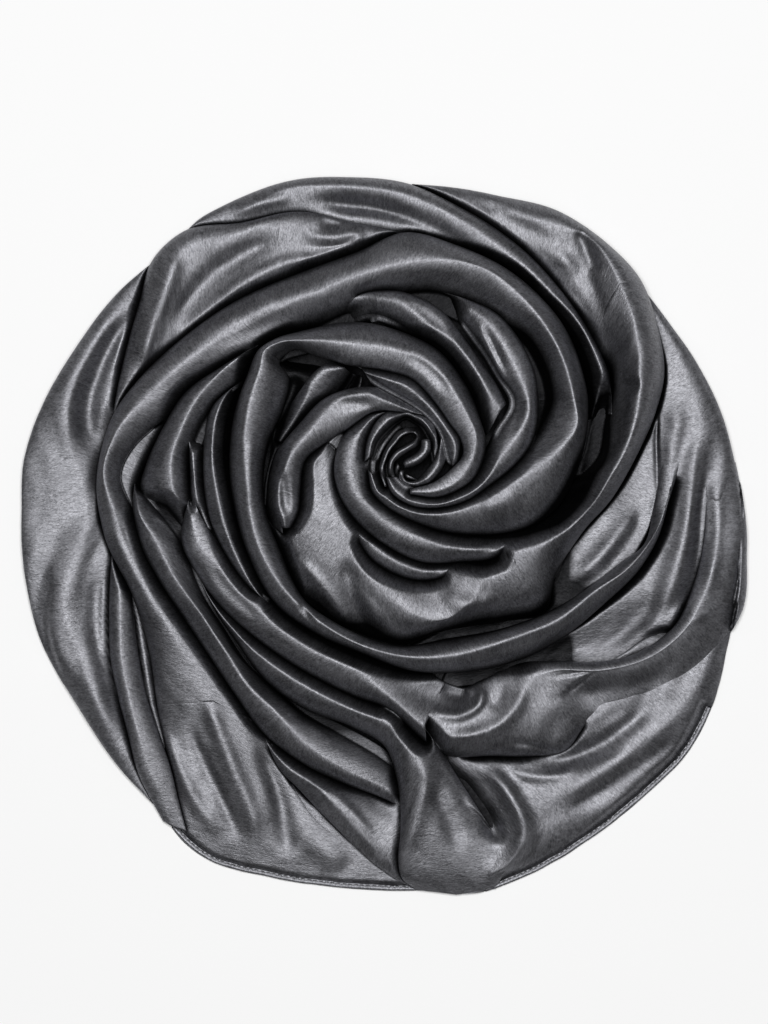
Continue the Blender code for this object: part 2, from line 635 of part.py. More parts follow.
def inside(points, ring):
    """Which points lie in the outline (winding number, so a crossing does no harm)."""
    x, y = points[:, 0][:, None], points[:, 1][:, None]
    x0, y0 = ring[:, 0][None], ring[:, 1][None]
    x1, y1 = np.roll(ring[:, 0], -1)[None], np.roll(ring[:, 1], -1)[None]
    left = (x1 - x0) * (y - y0) - (x - x0) * (y1 - y0)
    up = (y0 <= y) & (y1 > y) & (left > 0)
    down = (y0 > y) & (y1 <= y) & (left < 0)
    return (up.sum(1) - down.sum(1)) != 0


def nearest(points, ring):
    """Distance of each point from a closed 2-D or 3-D outline, and the height there."""
    a, b = ring, np.roll(ring, -1, axis=0)
    d = b[:, :2] - a[:, :2]
    size = np.maximum((d ** 2).sum(1), 1e-9)
    rel = points[:, None, :2] - a[None, :, :2]
    u = np.clip((rel * d[None]).sum(2) / size[None], 0, 1)
    gap = np.sqrt(((rel - u[..., None] * d[None]) ** 2).sum(2))
    if ring.shape[1] == 2:
        return gap.min(1), None
    return gap, a[None, :, 2] + u * (b - a)[None, :, 2]


def heights(points, grid):
    """Height of a stretch's surface over each plan point."""
    n, m = grid.shape[:2]
    index = np.arange(n * m).reshape(n, m)
    a, b, c, d = index[:-1, :-1], index[1:, :-1], index[1:, 1:], index[:-1, 1:]
    tris = np.concatenate([np.stack([a, b, c], -1).reshape(-1, 3),
                           np.stack([a, c, d], -1).reshape(-1, 3)])
    flat = grid.reshape(-1, 3)
    p0, p1, p2 = flat[tris[:, 0]], flat[tris[:, 1]], flat[tris[:, 2]]
    e1, e2 = p1 - p0, p2 - p0
    det = e1[:, 0] * e2[:, 1] - e1[:, 1] * e2[:, 0]
    good = np.abs(det) > 1e-6
    p0, e1, e2, det = p0[good], e1[good], e2[good], det[good]
    rx = points[:, None, 0] - p0[None, :, 0]
    ry = points[:, None, 1] - p0[None, :, 1]
    u = (rx * e2[None, :, 1] - ry * e2[None, :, 0]) / det[None]
    v = (e1[None, :, 0] * ry - e1[None, :, 1] * rx) / det[None]
    hit = (u > -1e-4) & (v > -1e-4) & (u + v < 1.0001)
    z = np.where(hit, p0[None, :, 2] + u * e1[None, :, 2] + v * e2[None, :, 2], -1e9)
    best = z.max(1)
    lost = best < -1e8
    if lost.any():
        far = ((points[lost][:, None, :] - flat[None, :, :2]) ** 2).sum(2)
        best[lost] = flat[far.argmin(1), 2]
    return best


# ------------------------------------------------------------------ stretches
class Stretch:
    """A stretch of cloth that shows: its sections, and the room it takes in plan."""

    def __init__(self, name, grid, cloth=CLOTH, reach_out=None, span=None):
        self.name, self.grid, self.cloth, self.span = name, grid, cloth, span
        self.outline = round_trip(grid)
        self.room = grown(self.outline, SEAM if reach_out is None else reach_out(self.outline))
        self.low, self.high = self.room.min(0), self.room.max(0)

    def runs_on(self, other):
        """Whether the two are the same length of cloth, one after the other."""
        if not self.span or not other.span or self.span[0] != other.span[0]:
            return False
        return self.span[1] == other.span[2] or self.span[2] == other.span[1]

    def meets(self, other, margin=0.0):
        return bool(np.all(self.low - margin < other.high) and np.all(other.low - margin < self.high))


def hem_strip(name, panel, line):
    """A narrow hem made from its panel's own points, standing a little above it.

    line is the panel's edge, with the panel on its left."""
    d = np.gradient(line[:, :2], axis=0)
    d /= np.linalg.norm(d, axis=1)[:, None]
    inward = np.column_stack([-d[:, 1], d[:, 0]])
    columns = []
    for k in (0.0, 0.5, 1.0):
        plan = line[:, :2] + inward * HEM_WIDTH * k
        z = heights(plan, panel.grid) + HEM_RISE * (1.0 if k else 0.4)
        columns.append(np.column_stack([plan, z]))
    grid = np.stack(columns, axis=1)
    edge = line[:, :2]

    def reach_out(outline):
        gap, _ = nearest(outline[:, :2], np.concatenate([edge, edge[::-1]]))
        return np.where(gap < 0.3, 3.0, SEAM)

    return Stretch(name, grid, HEM_CLOTH, reach_out)


def cut_out(own, above):
    """Plan triangles of a stretch where nothing lies over it."""
    rings = [own.outline[:, :2]] + [s.room for s in above]
    points, edges = [], []
    for ring in rings:
        base, n = len(points), len(ring)
        points += [Vector(p) for p in ring]
        edges += [(base + i, base + (i + 1) % n) for i in range(n)]
    free = own.grid[1:-1, 1:-1].reshape(-1, 3)[:, :2]
    if len(free):
        keep = np.ones(len(free), bool)
        for ring in rings:
            keep &= nearest(free, ring)[0] > 2.0
        for s in above:
            keep &= ~inside(free, s.room)
        points += [Vector(p) for p in free[keep]]
    verts, _, faces, *_ = delaunay_2d_cdt(points, edges, [], 0, 1e-5)
    plan = np.array([v[:] for v in verts])
    tris = np.array([f for f in faces if len(f) == 3])
    middle = plan[tris].mean(1)
    keep = inside(middle, own.outline[:, :2])
    for s in above:
        keep &= ~inside(middle, s.room)
    p = plan[tris]
    area = 0.5 * ((p[:, 1, 0] - p[:, 0, 0]) * (p[:, 2, 1] - p[:, 0, 1])
                  - (p[:, 1, 1] - p[:, 0, 1]) * (p[:, 2, 0] - p[:, 0, 0]))
    flip = area < 0
    tris[flip] = tris[flip][:, ::-1]
    return plan, tris[keep & (np.abs(area) > 1e-7)]


def pieces_of(plan, tris):
    """Split the triangles into pieces joined by whole edges, largest first."""
    while True:
        owner = {}
        for i, t in enumerate(tris):
            for a, b in ((t[0], t[1]), (t[1], t[2]), (t[2], t[0])):
                owner.setdefault((min(a, b), max(a, b)), []).append(i)
        link = [[] for _ in tris]
        for shared in owner.values():
            if len(shared) == 2:
                link[shared[0]].append(shared[1])
                link[shared[1]].append(shared[0])
        group = [-1] * len(tris)
        groups = []
        for i in range(len(tris)):
            if group[i] >= 0:
                continue
            group[i], stack, members = len(groups), [i], []
            while stack:
                j = stack.pop()
                members.append(j)
                for k in link[j]:
                    if group[k] < 0:
                        group[k] = len(groups)
                        stack.append(k)
            groups.append(members)
        p = plan[tris]
        area = 0.5 * np.abs((p[:, 1, 0] - p[:, 0, 0]) * (p[:, 2, 1] - p[:, 0, 1])
                            - (p[:, 1, 1] - p[:, 0, 1]) * (p[:, 2, 0] - p[:, 0, 0]))
        groups = [g for g in groups if area[g].sum() >= SMALLEST]
        drop = set()
        for members in groups:
            around = {}
            for i in members:
                for v in tris[i]:
                    around.setdefault(v, []).append(i)
            for v, fan in around.items():
                left, fans = set(fan), []
                while left:
                    stack, part = [left.pop()], []
                    while stack:
                        j = stack.pop()
                        part.append(j)
                        for k in link[j]:
                            if k in left and v in tris[k] and len(set(tris[j]) & set(tris[k])) == 2:
                                left.discard(k)
                                stack.append(k)
                    fans.append(part)
                if len(fans) > 1:
                    fans.sort(key=lambda f: area[f].sum())
                    for part in fans[:-1]:
                        drop.update(part)
        keep = [i for g in groups for i in g if i not in drop]
        if not drop:
            return [tris[g] for g in sorted(groups, key=lambda g: -area[g].sum())]
        tris = tris[keep]


def wall(plan, tris, own, above):
    """Closed wall of cloth over the plan triangles: points and faces."""
    used, tris = np.unique(tris, return_inverse=True)
    tris = tris.reshape(-1, 3)
    spot = plan[used]
    top = heights(spot, own.grid)
    for s in above:
        gap, z = nearest(spot, s.outline)
        top = np.minimum(top, np.where(gap < 16.0, z + RISE * gap - UNDER, 1e9).min(1))
    top = np.maximum(top, FLOOR_GAP + 0.9)
    p = np.column_stack([spot, top])[tris]
    normal = np.cross(p[:, 1] - p[:, 0], p[:, 2] - p[:, 0])
    mean = np.zeros((len(spot), 3))
    for k in range(3):
        np.add.at(mean, tris[:, k], normal)
    mean /= np.maximum(np.linalg.norm(mean, axis=1), 1e-9)[:, None]
    thick = own.cloth * np.minimum(1 / np.maximum(mean[:, 2], 1e-3), STEEP)
    low = np.maximum(top - thick, FLOOR_GAP)
    n = len(spot)
    points = np.concatenate([np.column_stack([spot, top]), np.column_stack([spot, low])])
    faces = [tuple(int(v) for v in t) for t in tris]
    faces += [tuple(int(v) + n for v in t[::-1]) for t in tris]
    count = {}
    for t in tris:
        for a, b in ((t[0], t[1]), (t[1], t[2]), (t[2], t[0])):
            count[(int(a), int(b))] = True
    for a, b in list(count):
        if (b, a) not in count:
            faces.append((b, a, a + n, b + n))
    return points, faces


# ------------------------------------------------------- the layers inside
def low_map(walls, cell=1.0):
    """Height of the lowest wall underside over each millimetre of the plan."""
    size = MAP_SIZE
    low = np.full((size, size), np.inf)
    for points, faces in walls:
        n = len(points) // 2
        for f in faces:
            if len(f) != 3 or f[0] < n:
                continue
            a, b, c = points[f[0]], points[f[1]], points[f[2]]
            x0, y0 = (np.floor((np.minimum(np.minimum(a, b), c)[:2]) / cell) - 1).astype(int)
            x1, y1 = (np.ceil((np.maximum(np.maximum(a, b), c)[:2]) / cell) + 1).astype(int)
            z = min(a[2], b[2], c[2])
            gx, gy = np.meshgrid(np.arange(x0, x1 + 1) * cell, np.arange(y0, y1 + 1) * cell,
                                 indexing="ij")
            d = (b[0] - a[0]) * (c[1] - a[1]) - (b[1] - a[1]) * (c[0] - a[0])
            if abs(d) < 1e-9:
                continue
            u = ((gx - a[0]) * (c[1] - a[1]) - (gy - a[1]) * (c[0] - a[0])) / d
            v = ((b[0] - a[0]) * (gy - a[1]) - (b[1] - a[1]) * (gx - a[0])) / d
            touch = (u > -0.3) & (v > -0.3) & (u + v < 1.3)
            h = np.maximum(a[2] + u * (b[2] - a[2]) + v * (c[2] - a[2]), z)
            block = low[x0 + size // 2:x1 + 1 + size // 2, y0 + size // 2:y1 + 1 + size // 2]
            np.minimum(block, np.where(touch, h, np.inf), out=block)
    return low


def reach_of(stretches, angle):
    """How far the cloth reaches from the middle in one direction."""
    ux, uy = math.cos(angle), math.sin(angle)
    best = 0.0
    for s in stretches:
        a, b = s.outline[:, :2], np.roll(s.outline[:, :2], -1, axis=0)
        side_a, side_b = a[:, 0] * uy - a[:, 1] * ux, b[:, 0] * uy - b[:, 1] * ux
        cross = side_a * side_b < 0
        if cross.any():
            k = side_a[cross] / (side_a[cross] - side_b[cross])
            hit = a[cross] + (b[cross] - a[cross]) * k[:, None]
            best = max(best, float((hit[:, 0] * ux + hit[:, 1] * uy).max()))
    return best


def hidden_layers(stretches, walls, hems):
    """One rounded solid for the layers that do not show: flat below, layered at its rim."""
    low = low_map(walls)
    n = CORE_SIDES
    angle = np.arange(n) * 2 * math.pi / n
    inset = np.full(n, CORE_INSET)
    for hem in hems:
        a = np.unwrap(np.arctan2(hem.outline[:, 1], hem.outline[:, 0]))
        for i in range(n):
            off = (angle[i] - a.mean() + math.pi) % (2 * math.pi) - math.pi
            beyond = abs(off) - (a.max() - a.min()) / 2
            k = min(max(1 - (beyond - math.radians(2)) / math.radians(6), 0), 1)
            inset[i] = max(inset[i], CORE_INSET + (CORE_INSET_HEM - CORE_INSET) * k)
    rim = np.array([reach_of(stretches, a) for a in angle]) - inset
    plan = [np.column_stack([np.cos(angle), np.sin(angle)]) * (rim * k - (1.2 if k == 1.0 else 0))[:, None]
            for k in CORE_RINGS] + [np.zeros((1, 2))]
    tops = []
    for r, ring in enumerate(plan):
        nearby = plan[max(r - 1, 0)], plan[min(r + 1, len(plan) - 1)]
        z = np.empty(len(ring))
        for i, p in enumerate(ring):
            around = [np.linalg.norm(q[i % len(q)] - p) for q in nearby]
            around += [np.linalg.norm(ring[(i + s) % len(ring)] - p) for s in (1, -1)]
            around += [np.linalg.norm(q[(i + s) % len(q)] - p) for q in nearby for s in (1, -1)] \
                if r < len(plan) - 1 else [np.linalg.norm(nearby[0][0])]
            wide = max(around) + 1.0
            x0, y0 = (np.floor(p - wide)).astype(int) + MAP_SIZE // 2
            x1, y1 = (np.ceil(p + wide)).astype(int) + MAP_SIZE // 2 + 1
            gx, gy = np.meshgrid(np.arange(x0, x1) - MAP_SIZE // 2,
                                 np.arange(y0, y1) - MAP_SIZE // 2, indexing="ij")
            near = (gx - p[0]) ** 2 + (gy - p[1]) ** 2 <= wide ** 2
            z[i] = low[x0:x1, y0:y1][near].min()
        tops.append(np.maximum(z - CORE_GAP, 0.1))
    rim_top = tops[0]
    steps = ((-0.9, 0.0), (0.0, 0.22), (0.0, 0.42), (-0.9, 0.5), (-0.1, 0.6), (-0.1, 0.8))
    rings = []
    for out, up in steps:
        r = (rim + out)[:, None]
        rings.append(np.column_stack([np.column_stack([np.cos(angle), np.sin(angle)]) * r, rim_top * up]))
    rings += [np.column_stack([ring, z]) for ring, z in zip(plan[:-1], tops[:-1])]
    points = np.concatenate(rings + [np.array([[0, 0, tops[-1][0]]]), np.array([[0, 0, 0.0]])])
    faces = []
    for r in range(len(rings) - 1):
        for i in range(n):
            j = (i + 1) % n
            a, b, c, d = r * n + i, r * n + j, (r + 1) * n + j, (r + 1) * n + i
            faces += [(a, b, c), (a, c, d)]
    last, crown, base = (len(rings) - 1) * n, len(points) - 2, len(points) - 1
    for i in range(n):
        j = (i + 1) % n
        faces += [(last + i, last + j, crown), (j, i, base)]
    return points, faces


# --------------------------------------------------------------------- build
def material(name, colour):
    m = bpy.data.materials.new(name)
    m.use_nodes = True
    shader = m.node_tree.nodes["Principled BSDF"]
    shader.inputs["Base Color"].default_value = (*colour, 1.0)
    shader.inputs["Roughness"].default_value = 0.42
    return m


def add_object(name, points, faces, colour, collection):
    mesh = bpy.data.meshes.new(name)
    mesh.from_pydata([tuple(p * 0.001) for p in points], [], faces)
    bm = bmesh.new()
    bm.from_mesh(mesh)
    bmesh.ops.triangulate(bm, faces=[f for f in bm.faces if len(f.verts) > 3])
    bmesh.ops.recalc_face_normals(bm, faces=bm.faces)
    if bm.calc_volume(signed=True) < 0:
        bmesh.ops.reverse_faces(bm, faces=bm.faces)
    bm.to_mesh(mesh)
    bm.free()
    mesh.materials.append(material(name + "_cloth", colour))
    obj = bpy.data.objects.new(name, mesh)
    collection.objects.link(obj)
    return obj


def build():
    for obj in list(bpy.data.objects):
        bpy.data.objects.remove(obj, do_unlink=True)
    collection = bpy.data.collections.new("hijab")
    bpy.context.scene.collection.children.link(collection)

    lengths = {name: Length(name) for name in LENGTHS}
    stretches, hems = [], []
    for name, length, first, last in STACK:
        strip = lengths[length]
        stretches.append(Stretch(name, strip.surface(strip.stations(first, last)),
                                 span=(length, first, last)))
        for hem, panel, start, end in HEMS:
            if panel != name:
                continue
            if start is None:               # along the panel's last section
                line = strip.surface(np.array([float(end)]),
                                     np.linspace(90, 10, 6), np.linspace(15, 78, 4))[0]
            else:                           # along the panel's outer edge
                t = np.linspace(start, end, 11)
                line = strip.surface(t, (90,), (90,))[:, 0]
            stretches.append(hem_strip(hem, stretches[-1], line))
            hems.append(stretches[-1])

    built, walls = [], []
    for i, own in enumerate(stretches):
        above = [s for s in stretches[i + 1:] if s.meets(own, 0.5)]
        beside = [s for s in stretches[i + 1:] if s.meets(own, 16.0) and not own.runs_on(s)]
        plan, tris = cut_out(own, above)
        for k, part in enumerate(pieces_of(plan, tris)):
            points, faces = wall(plan, part, own, beside)
            name = own.name + ("", "_b", "_c", "_d", "_e")[k]
            built.append((name, points, faces))
            walls.append((points, faces))

    shade = (0.045, 0.045, 0.050)
    add_object("hidden_layers", *hidden_layers(stretches, walls, hems), (0.03, 0.03, 0.034), collection)
    for name, points, faces in built:
        add_object(name, points, faces, shade, collection)
    total = sum(len(o.data.polygons) for o in collection.objects)
    print("nodes", len(collection.objects), "triangles", total)
    for o in collection.objects:
        print("  ", o.name, len(o.data.polygons))


build()
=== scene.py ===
"""Looks of the hijab: one square of dark grey satin, pinched at its middle and
twisted into a round rosette, lying flat.

The cloth is drawn as lengths, each a strip that runs along one fold.  A length's
table has a row for each section across the fold, which says where its outer
edge, its crest and its inner foot stand.  Plan positions are in chart units
(half a millimetre, y downwards) and heights are in millimetres.  Creases are
soft ridges and troughs placed on the lengths.
"""
import math

import bmesh
import bpy
import numpy as np
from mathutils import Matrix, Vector


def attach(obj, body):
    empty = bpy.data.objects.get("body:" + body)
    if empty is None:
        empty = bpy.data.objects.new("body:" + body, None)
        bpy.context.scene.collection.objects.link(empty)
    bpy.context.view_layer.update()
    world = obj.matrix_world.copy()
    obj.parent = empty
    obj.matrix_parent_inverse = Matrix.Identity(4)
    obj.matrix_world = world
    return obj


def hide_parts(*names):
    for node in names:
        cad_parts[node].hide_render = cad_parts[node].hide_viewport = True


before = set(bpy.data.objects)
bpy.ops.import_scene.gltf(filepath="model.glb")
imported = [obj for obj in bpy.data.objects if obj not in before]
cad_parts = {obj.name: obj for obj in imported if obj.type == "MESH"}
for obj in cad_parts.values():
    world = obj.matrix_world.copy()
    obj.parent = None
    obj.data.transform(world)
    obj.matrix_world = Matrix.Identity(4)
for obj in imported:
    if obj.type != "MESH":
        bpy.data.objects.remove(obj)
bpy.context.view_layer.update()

# ---------------------------------------------------------------- named sizes
UNIT = 0.5                     # millimetres in one chart unit
CHART_CENTRE = (384.0, 534.0)  # chart position that is x = 0, y = 0
ALONG = 1.45                   # step along a fold, mm
ACROSS = 1.15                  # step across a fold, mm
VALLEY = 1.25                  # valleys go this much further below the crests
CELL = 0.6                     # cell of the height map that keeps layers apart, mm
CELLS = 680
GAP = 0.45                     # clear height between two layers, mm
RISE = 1.55                    # slope of a layer where it comes out from under another
ROLL_UNDER = ((0.25, 0.45), (0.9, 0.95), (2.0, 1.2))  # how an edge turns under: inward, down, mm
KEPT = 3.6                     # a layer is kept this far under the layer above it, mm
FLAP = 0.35                    # how far the end of a stretch dips where the next one goes on, mm
CLOTH = 0.28                   # thickness of the satin as modelled, mm
HEM_WIDTH = 3.8
HEM_RISE = 0.45
STITCH = 3.0                   # stitch pitch, mm

SIDES = {"lip": 2.0, "dive": 1.2, "hem": 1.0}

COLUMNS = "edge_x edge_y edge_z  crest_x crest_y crest_z  foot_x foot_y foot_z"

# name of the length -> (crest roundness, outer side, inner side,
#                        reach past the foot in chart units, table in COLUMNS order)
LENGTHS = {}

LENGTHS["left_panel"] = (1.8, "lip", "dive", 6, """
157 257 4.6 152 268 6.0 166 282 5.0
120 289 4.6 131 301 9.0 160 318 4.5
80 340 4.6 96 348 9.5 135 365 4.0
45 398 4.6 70 396 9.5 122 408 4.0
25 450 4.6 69 440 9.0 112 452 4.0
20 515 4.6 86 508 8.5 112 505 4.5
24 577 4.6 66 582 9.0 130 572 4.0
41 645 4.6 73 640 9.0 175 640 3.4
78 709 4.6 100 704 8.5 185 695 3.4
113 762 4.2 124 752 6.5 165 742 3.4
158 812 3.0 160 803 3.6 175 791 3.4
""")

LENGTHS["right_panel"] = (2.0, "lip", "dive", 70, """
637 278 4.6  641 290 7.0  640 305 7.0
670 322 4.6  664 330 8.5  645 340 8.0
700 366 4.6  685 378 11.0 645 395 10.0
722 412 4.6  695 425 12.5 635 430 10.0
736 463 4.6  694 470 12.5 622 455 9.0
742 505 4.6  690 515 12.0 600 495 8.0
740 545 4.6  680 550 11.5 580 530 7.0
736 592 4.6  668 595 11.0 545 590 6.5
726 630 4.6  655 625 10.0 480 640 6.0
715 665 4.6  630 648 8.0  450 668 5.5
700 700 4.0  610 668 6.5  440 690 5.0
""")

LENGTHS["lower_right_panel"] = (2.0, "hem", "dive", 26, """
425 891 3.0 425 880 6.0 420 850 8.0
462 895 3.0 465 875 5.5 462 830 5.0
486 893 2.0 504 863 6.5 468 802 3.6
507 886 1.8 523 842 7.5 450 766 3.6
539 872 1.8 543 815 8.5 446 742 5.0
590 841 1.8 568 795 9.0 520 735 8.0
638 804 1.8 613 770 9.5 570 720 9.0
688 755 1.8 655 735 9.5 615 690 10.0
713 709 1.9  690 695 9.0  650 665 10.0
738 604 2.6 720 610 5.0 698 622 6.0
""")

LENGTHS["lower_roll"] = (1.6, "lip", "lip", 0, """
189 499 14.0  191 501 16.0  194 502 15.0
183 520 12.0  193 523 18.0  204 521 16.0
181 541 12.0  200 545 19.5  217 540 16.5
196 573 13.0  225 573 20.5  246 560 17.0
222 608 13.0  252 604 21.0  275 590 17.0
255 638 13.0  284 630 21.5  305 612 17.0
300 669 13.0  322 652 22.0  345 634 17.0
352 696 13.0  362 673 22.0  385 650 17.0
392 712 12.0  398 702 21.5  425 668 16.0
425 742 10.0  424 724 20.0  445 682 14.0
446 756 8.0   450 735 19.0  462 688 12.0
490 757 7.0   490 727 19.0  478 682 11.0
535 757 7.5   518 704 18.5  498 673 12.0
565 752 8.5   530 681 19.0  522 663 13.0
590 720 9.5   556 671 19.0  553 661 14.0
625 705 10.0  600 671 18.0  595 662 13.0
665 690 9.5   645 660 16.5  635 654 11.5
705 665 8.0   680 636 15.0  672 629 10.0
743 612 4.6   703 600 14.0  690 595 9.0
748 553 4.6   716 553 12.5  702 555 9.5
745 503 4.6   722 502 11.4  707 503 10.6
737 462 4.6   720 464 10.8  706 468 11.4
""")

LENGTHS["right_roll"] = (1.7, "lip", "dive", 18, """
412 183 5.0   420 190 7.0   428 204 6.0
450 186 4.8 455 202 9.5 462 222 8.0
500 195 4.8 505 216 12.0 510 250 9.0
561 211 5.0 562 227 15.0 545 285 10.0
612 246 7.0 598 247 19.0 575 315 11.0
643 282 10.0 619 284 23.0 590 345 12.0
657 322 13.0  632 318 27.0  606 362 10.0
665 370 13.0  638 362 29.5  612 388 8.0
657 410 13.0  637 405 30.0  606 422 7.0
640 450 13.0  624 450 30.0  600 455 8.0
613 498 12.0  598 490 29.5  578 478 10.0
582 534 11.0  563 517 28.5  545 500 14.0
556 575 11.0  541 535 27.5  520 520 18.0
545 612 9.0   510 558 26.5  500 535 17.0
505 622 8.0   488 570 25.5  475 545 17.0
470 627 8.0   474 595 24.5  445 560 18.0
438 633 8.0   443 619 24.0  430 575 19.0
405 645 8.0   410 611 24.5  415 575 19.0
378 640 8.0   384 589 25.5  400 560 19.0
335 622 10.0  360 555 26.5  385 535 20.0
290 590 14.0  340 522 27.0  370 500 21.0
268 545 17.0  318 500 27.0  350 475 22.0
262 500 18.0  311 475 27.0  335 450 23.0
270 455 19.0  312 455 26.5  325 440 24.0
273 412 6.0   305 410 12.0  335 415 18.0
268 356 3.0   305 362 8.0   345 372 19.0
""")

LENGTHS["top_roll"] = (1.6, "lip", "dive", 8, """
184 232 4.6 187 235 6.0 192 243 5.0
199 218 4.6 206 223 7.0 216 238 5.4
222 205 4.6 234 213 9.0 242 232 6.0
280 182 4.6   284 190 10.5  285 225 7.0
345 176 4.8   350 187 12.0  350 235 7.0
410 183 6.0   408 196 13.5  400 245 8.0
460 206 8.5   450 215 15.0  432 252 9.0
515 242 10.0  505 252 16.0  480 272 10.0
560 288 11.0  552 297 17.0  528 300 12.0
593 337 12.0  585 341 18.0  560 340 13.0
611 382 13.0  601 385 18.0  578 390 14.0
612 415 14.0  604 413 17.0  588 420 14.0
""")

LENGTHS["upper_left_panel"] = (1.8, "lip", "dive", 8, """
425 237 12.0  415 241 13.5  408 255 11.0
360 224 11.0  355 236 14.0  352 268 10.0
300 211 10.0  300 226 13.5  300 285 10.0
240 222 9.0   238 234 13.0  240 312 9.0
182 231 6.5   189 248 12.0  205 335 8.0
150 262 6.0   171 278 12.5  180 355 8.0
139 300 6.0   158 310 12.5  165 372 7.0
127 342 6.0   146 350 12.0  150 392 6.0
117 385 5.5   130 385 10.0  140 410 6.0
111 425 5.0   118 422 8.0   130 435 5.0
""")

LENGTHS["left_narrow_roll"] = (1.5, "lip", "lip", 0, """
112 545 8.0   117 552 11.0  126 556 8.0
109 580 6.5   119 582 11.0  130 588 7.0
108 620 6.0   120 622 11.5  134 622 6.0
109 655 6.0   121 655 11.5  138 655 6.0
117 697 6.0   129 697 11.0  147 700 6.0
127 735 6.0   138 733 10.5  159 735 5.5
138 776 5.0 150 772 9.0 171 771 5.0
150 800 3.5 162 800 6.5 178 802 4.0
162 822 2.2 172 828 3.8 186 833 3.0
""")

LENGTHS["main_roll"] = (1.6, "lip", "dive", 22, """
368 470 26.0  373 475 29.0  378 470 27.0
372 492 25.0  380 492 29.5  386 486 27.0
388 508 25.0  395 503 29.5  400 496 27.0
410 520 23.0  416 511 29.5  418 503 27.0
445 532 20.0  445 513 29.5  443 502 27.0
490 535 18.0  478 505 30.0  466 494 27.0
530 527 17.0  510 486 30.5  492 478 27.0
560 505 13.0  540 465 31.0  515 462 26.0
578 470 11.0  562 446 31.0  530 450 25.0
587 435 10.0  576 424 31.0  540 425 20.0
589 405 10.0  573 400 30.5  546 400 15.0
584 372 10.0  563 362 30.0  540 370 13.0
570 335 11.0  548 332 29.0  524 342 12.0
546 302 14.0  524 301 28.0  496 322 16.0
505 267 13.0  490 273 27.0  465 302 15.0
455 244 12.5  450 261 26.0  430 292 15.0
405 232 13.0  403 264 24.5  385 298 14.0
355 252 12.0  350 279 22.5  348 312 13.0
300 272 11.0  300 300 21.0  310 330 13.0
240 298 10.5  250 325 20.0  268 345 14.0
190 331 10.0  200 352 19.5  222 368 14.0
137 380 9.5   155 390 19.0  190 400 13.5
104 436 9.0   115 436 18.5  132 448 11.5
96  476 9.0   104 468 18.0  120 474 11.0
102 530 9.0   118 522 17.0  137 518 11.0
132 597 8.0   151 594 16.5  172 592 11.0
149 655 4.5   188 661 14.5  228 668 9.5
156 705 3.6   214 702 12.5  256 722 8.5
166 755 3.4   238 752 10.0  290 782 6.0
175 798 2.8   248 800 7.5   320 825 5.0
171 829 1.8 244 873 1.8 420 892 1.8
""")

LENGTHS["left_inner_roll"] = (1.5, "lip", "dive", 10, """
258 345 17.0  252 348 20.0  262 352 18.0
222 366 14.0  222 371 20.5  240 378 16.0
185 392 12.5  198 398 21.0  216 403 15.0
160 432 11.0  182 428 21.0  196 436 14.0
145 465 8.0   171 462 20.5  188 466 14.0
139 490 6.0   173 488 20.0  189 490 14.0
148 512 6.0   180 508 18.5  190 512 13.0
172 532 8.0   186 526 15.5  192 530 12.0
""")

LENGTHS["left_lower_roll"] = (1.5, "lip", "dive", 16, """
134 484 10.0  136 487 12.0  141 492 8.0
132 507 11.0  140 513 17.5  163 518 11.0
140 543 11.0  155 539 18.5  182 545 12.0
157 578 10.0  171 571 18.0  200 590 11.0
183 618 9.5   199 611 17.5  226 632 9.0
209 657 9.0   225 647 17.0  248 665 7.0
235 696 8.0   251 683 16.5  276 690 6.0
262 733 7.0   280 716 16.0  305 715 5.5
305 766 6.5   309 746 15.0  345 738 5.0
345 785 6.5   345 769 13.5  385 762 5.0
380 798 6.0   384 788 11.0  402 780 6.0
402 808 5.0   404 801 8.0   408 796 5.0
""")

LENGTHS["petal_side"] = (1.7, "lip", "soft", 10, """
264 738 7.0   268 742 10.0  275 740 8.0
278 768 7.0   290 762 12.0  310 758 7.0
300 792 6.5   318 785 12.5  345 775 6.0
335 828 6.0   346 812 12.0  380 795 6.5
368 860 5.0   374 838 11.0  405 815 9.0
392 878 4.0   400 855 10.0  430 835 10.0
417 891 3.0 424 874 8.0 450 857 9.0
""")

LENGTHS["petal"] = (1.7, "lip", "dive", 0, """
196 572 12.0  202 573 15.0  210 570 13.0
212 606 11.0  225 606 17.0  240 598 14.0
236 642 9.5   250 640 18.0  266 628 14.0
265 681 8.5   285 668 18.5  300 652 14.0
305 710 8.0   322 691 19.0  335 672 15.0
350 727 7.5   360 708 19.5  375 690 15.0
385 748 7.0   393 727 19.5  412 712 14.0
396 778 7.5   415 752 18.5  437 745 11.0
400 806 9.0   425 780 17.0  458 778 8.0
400 835 10.0  418 815 14.5  482 815 7.0
398 862 8.0   416 845 12.0  500 845 7.0
402 880 5.0 432 874 8.0 506 868 6.5
417 891 2.8 457 896 2.8 496 890 2.6
""")

LENGTHS["left_strip"] = (1.6, "lip", "dive", 4, """
189 438 15.0  191 440 16.5  196 440 15.5
189 456 14.0  193 456 18.0  203 457 15.0
190 476 13.5  195 475 18.5  206 478 15.0
191 496 13.5  198 495 18.5  210 498 15.0
196 513 13.5  202 513 18.0  214 512 15.0
204 532 13.5  208 531 16.0  216 529 14.5
""")

LENGTHS["left_sheet"] = (1.7, "lip", "dive", 4, """
242 380 18.0  244 384 20.0  250 384 19.0
214 404 16.0  226 405 21.0  245 405 19.0
204 440 15.0  216 445 21.0  240 440 19.0
203 475 15.0  219 475 21.0  238 475 18.5
207 508 15.0  226 505 21.0  246 505 18.0
222 548 15.0  240 545 20.5  256 545 17.0
250 588 15.0  257 583 19.0  272 580 17.0
268 602 16.0  270 600 18.0  280 598 17.0
""")

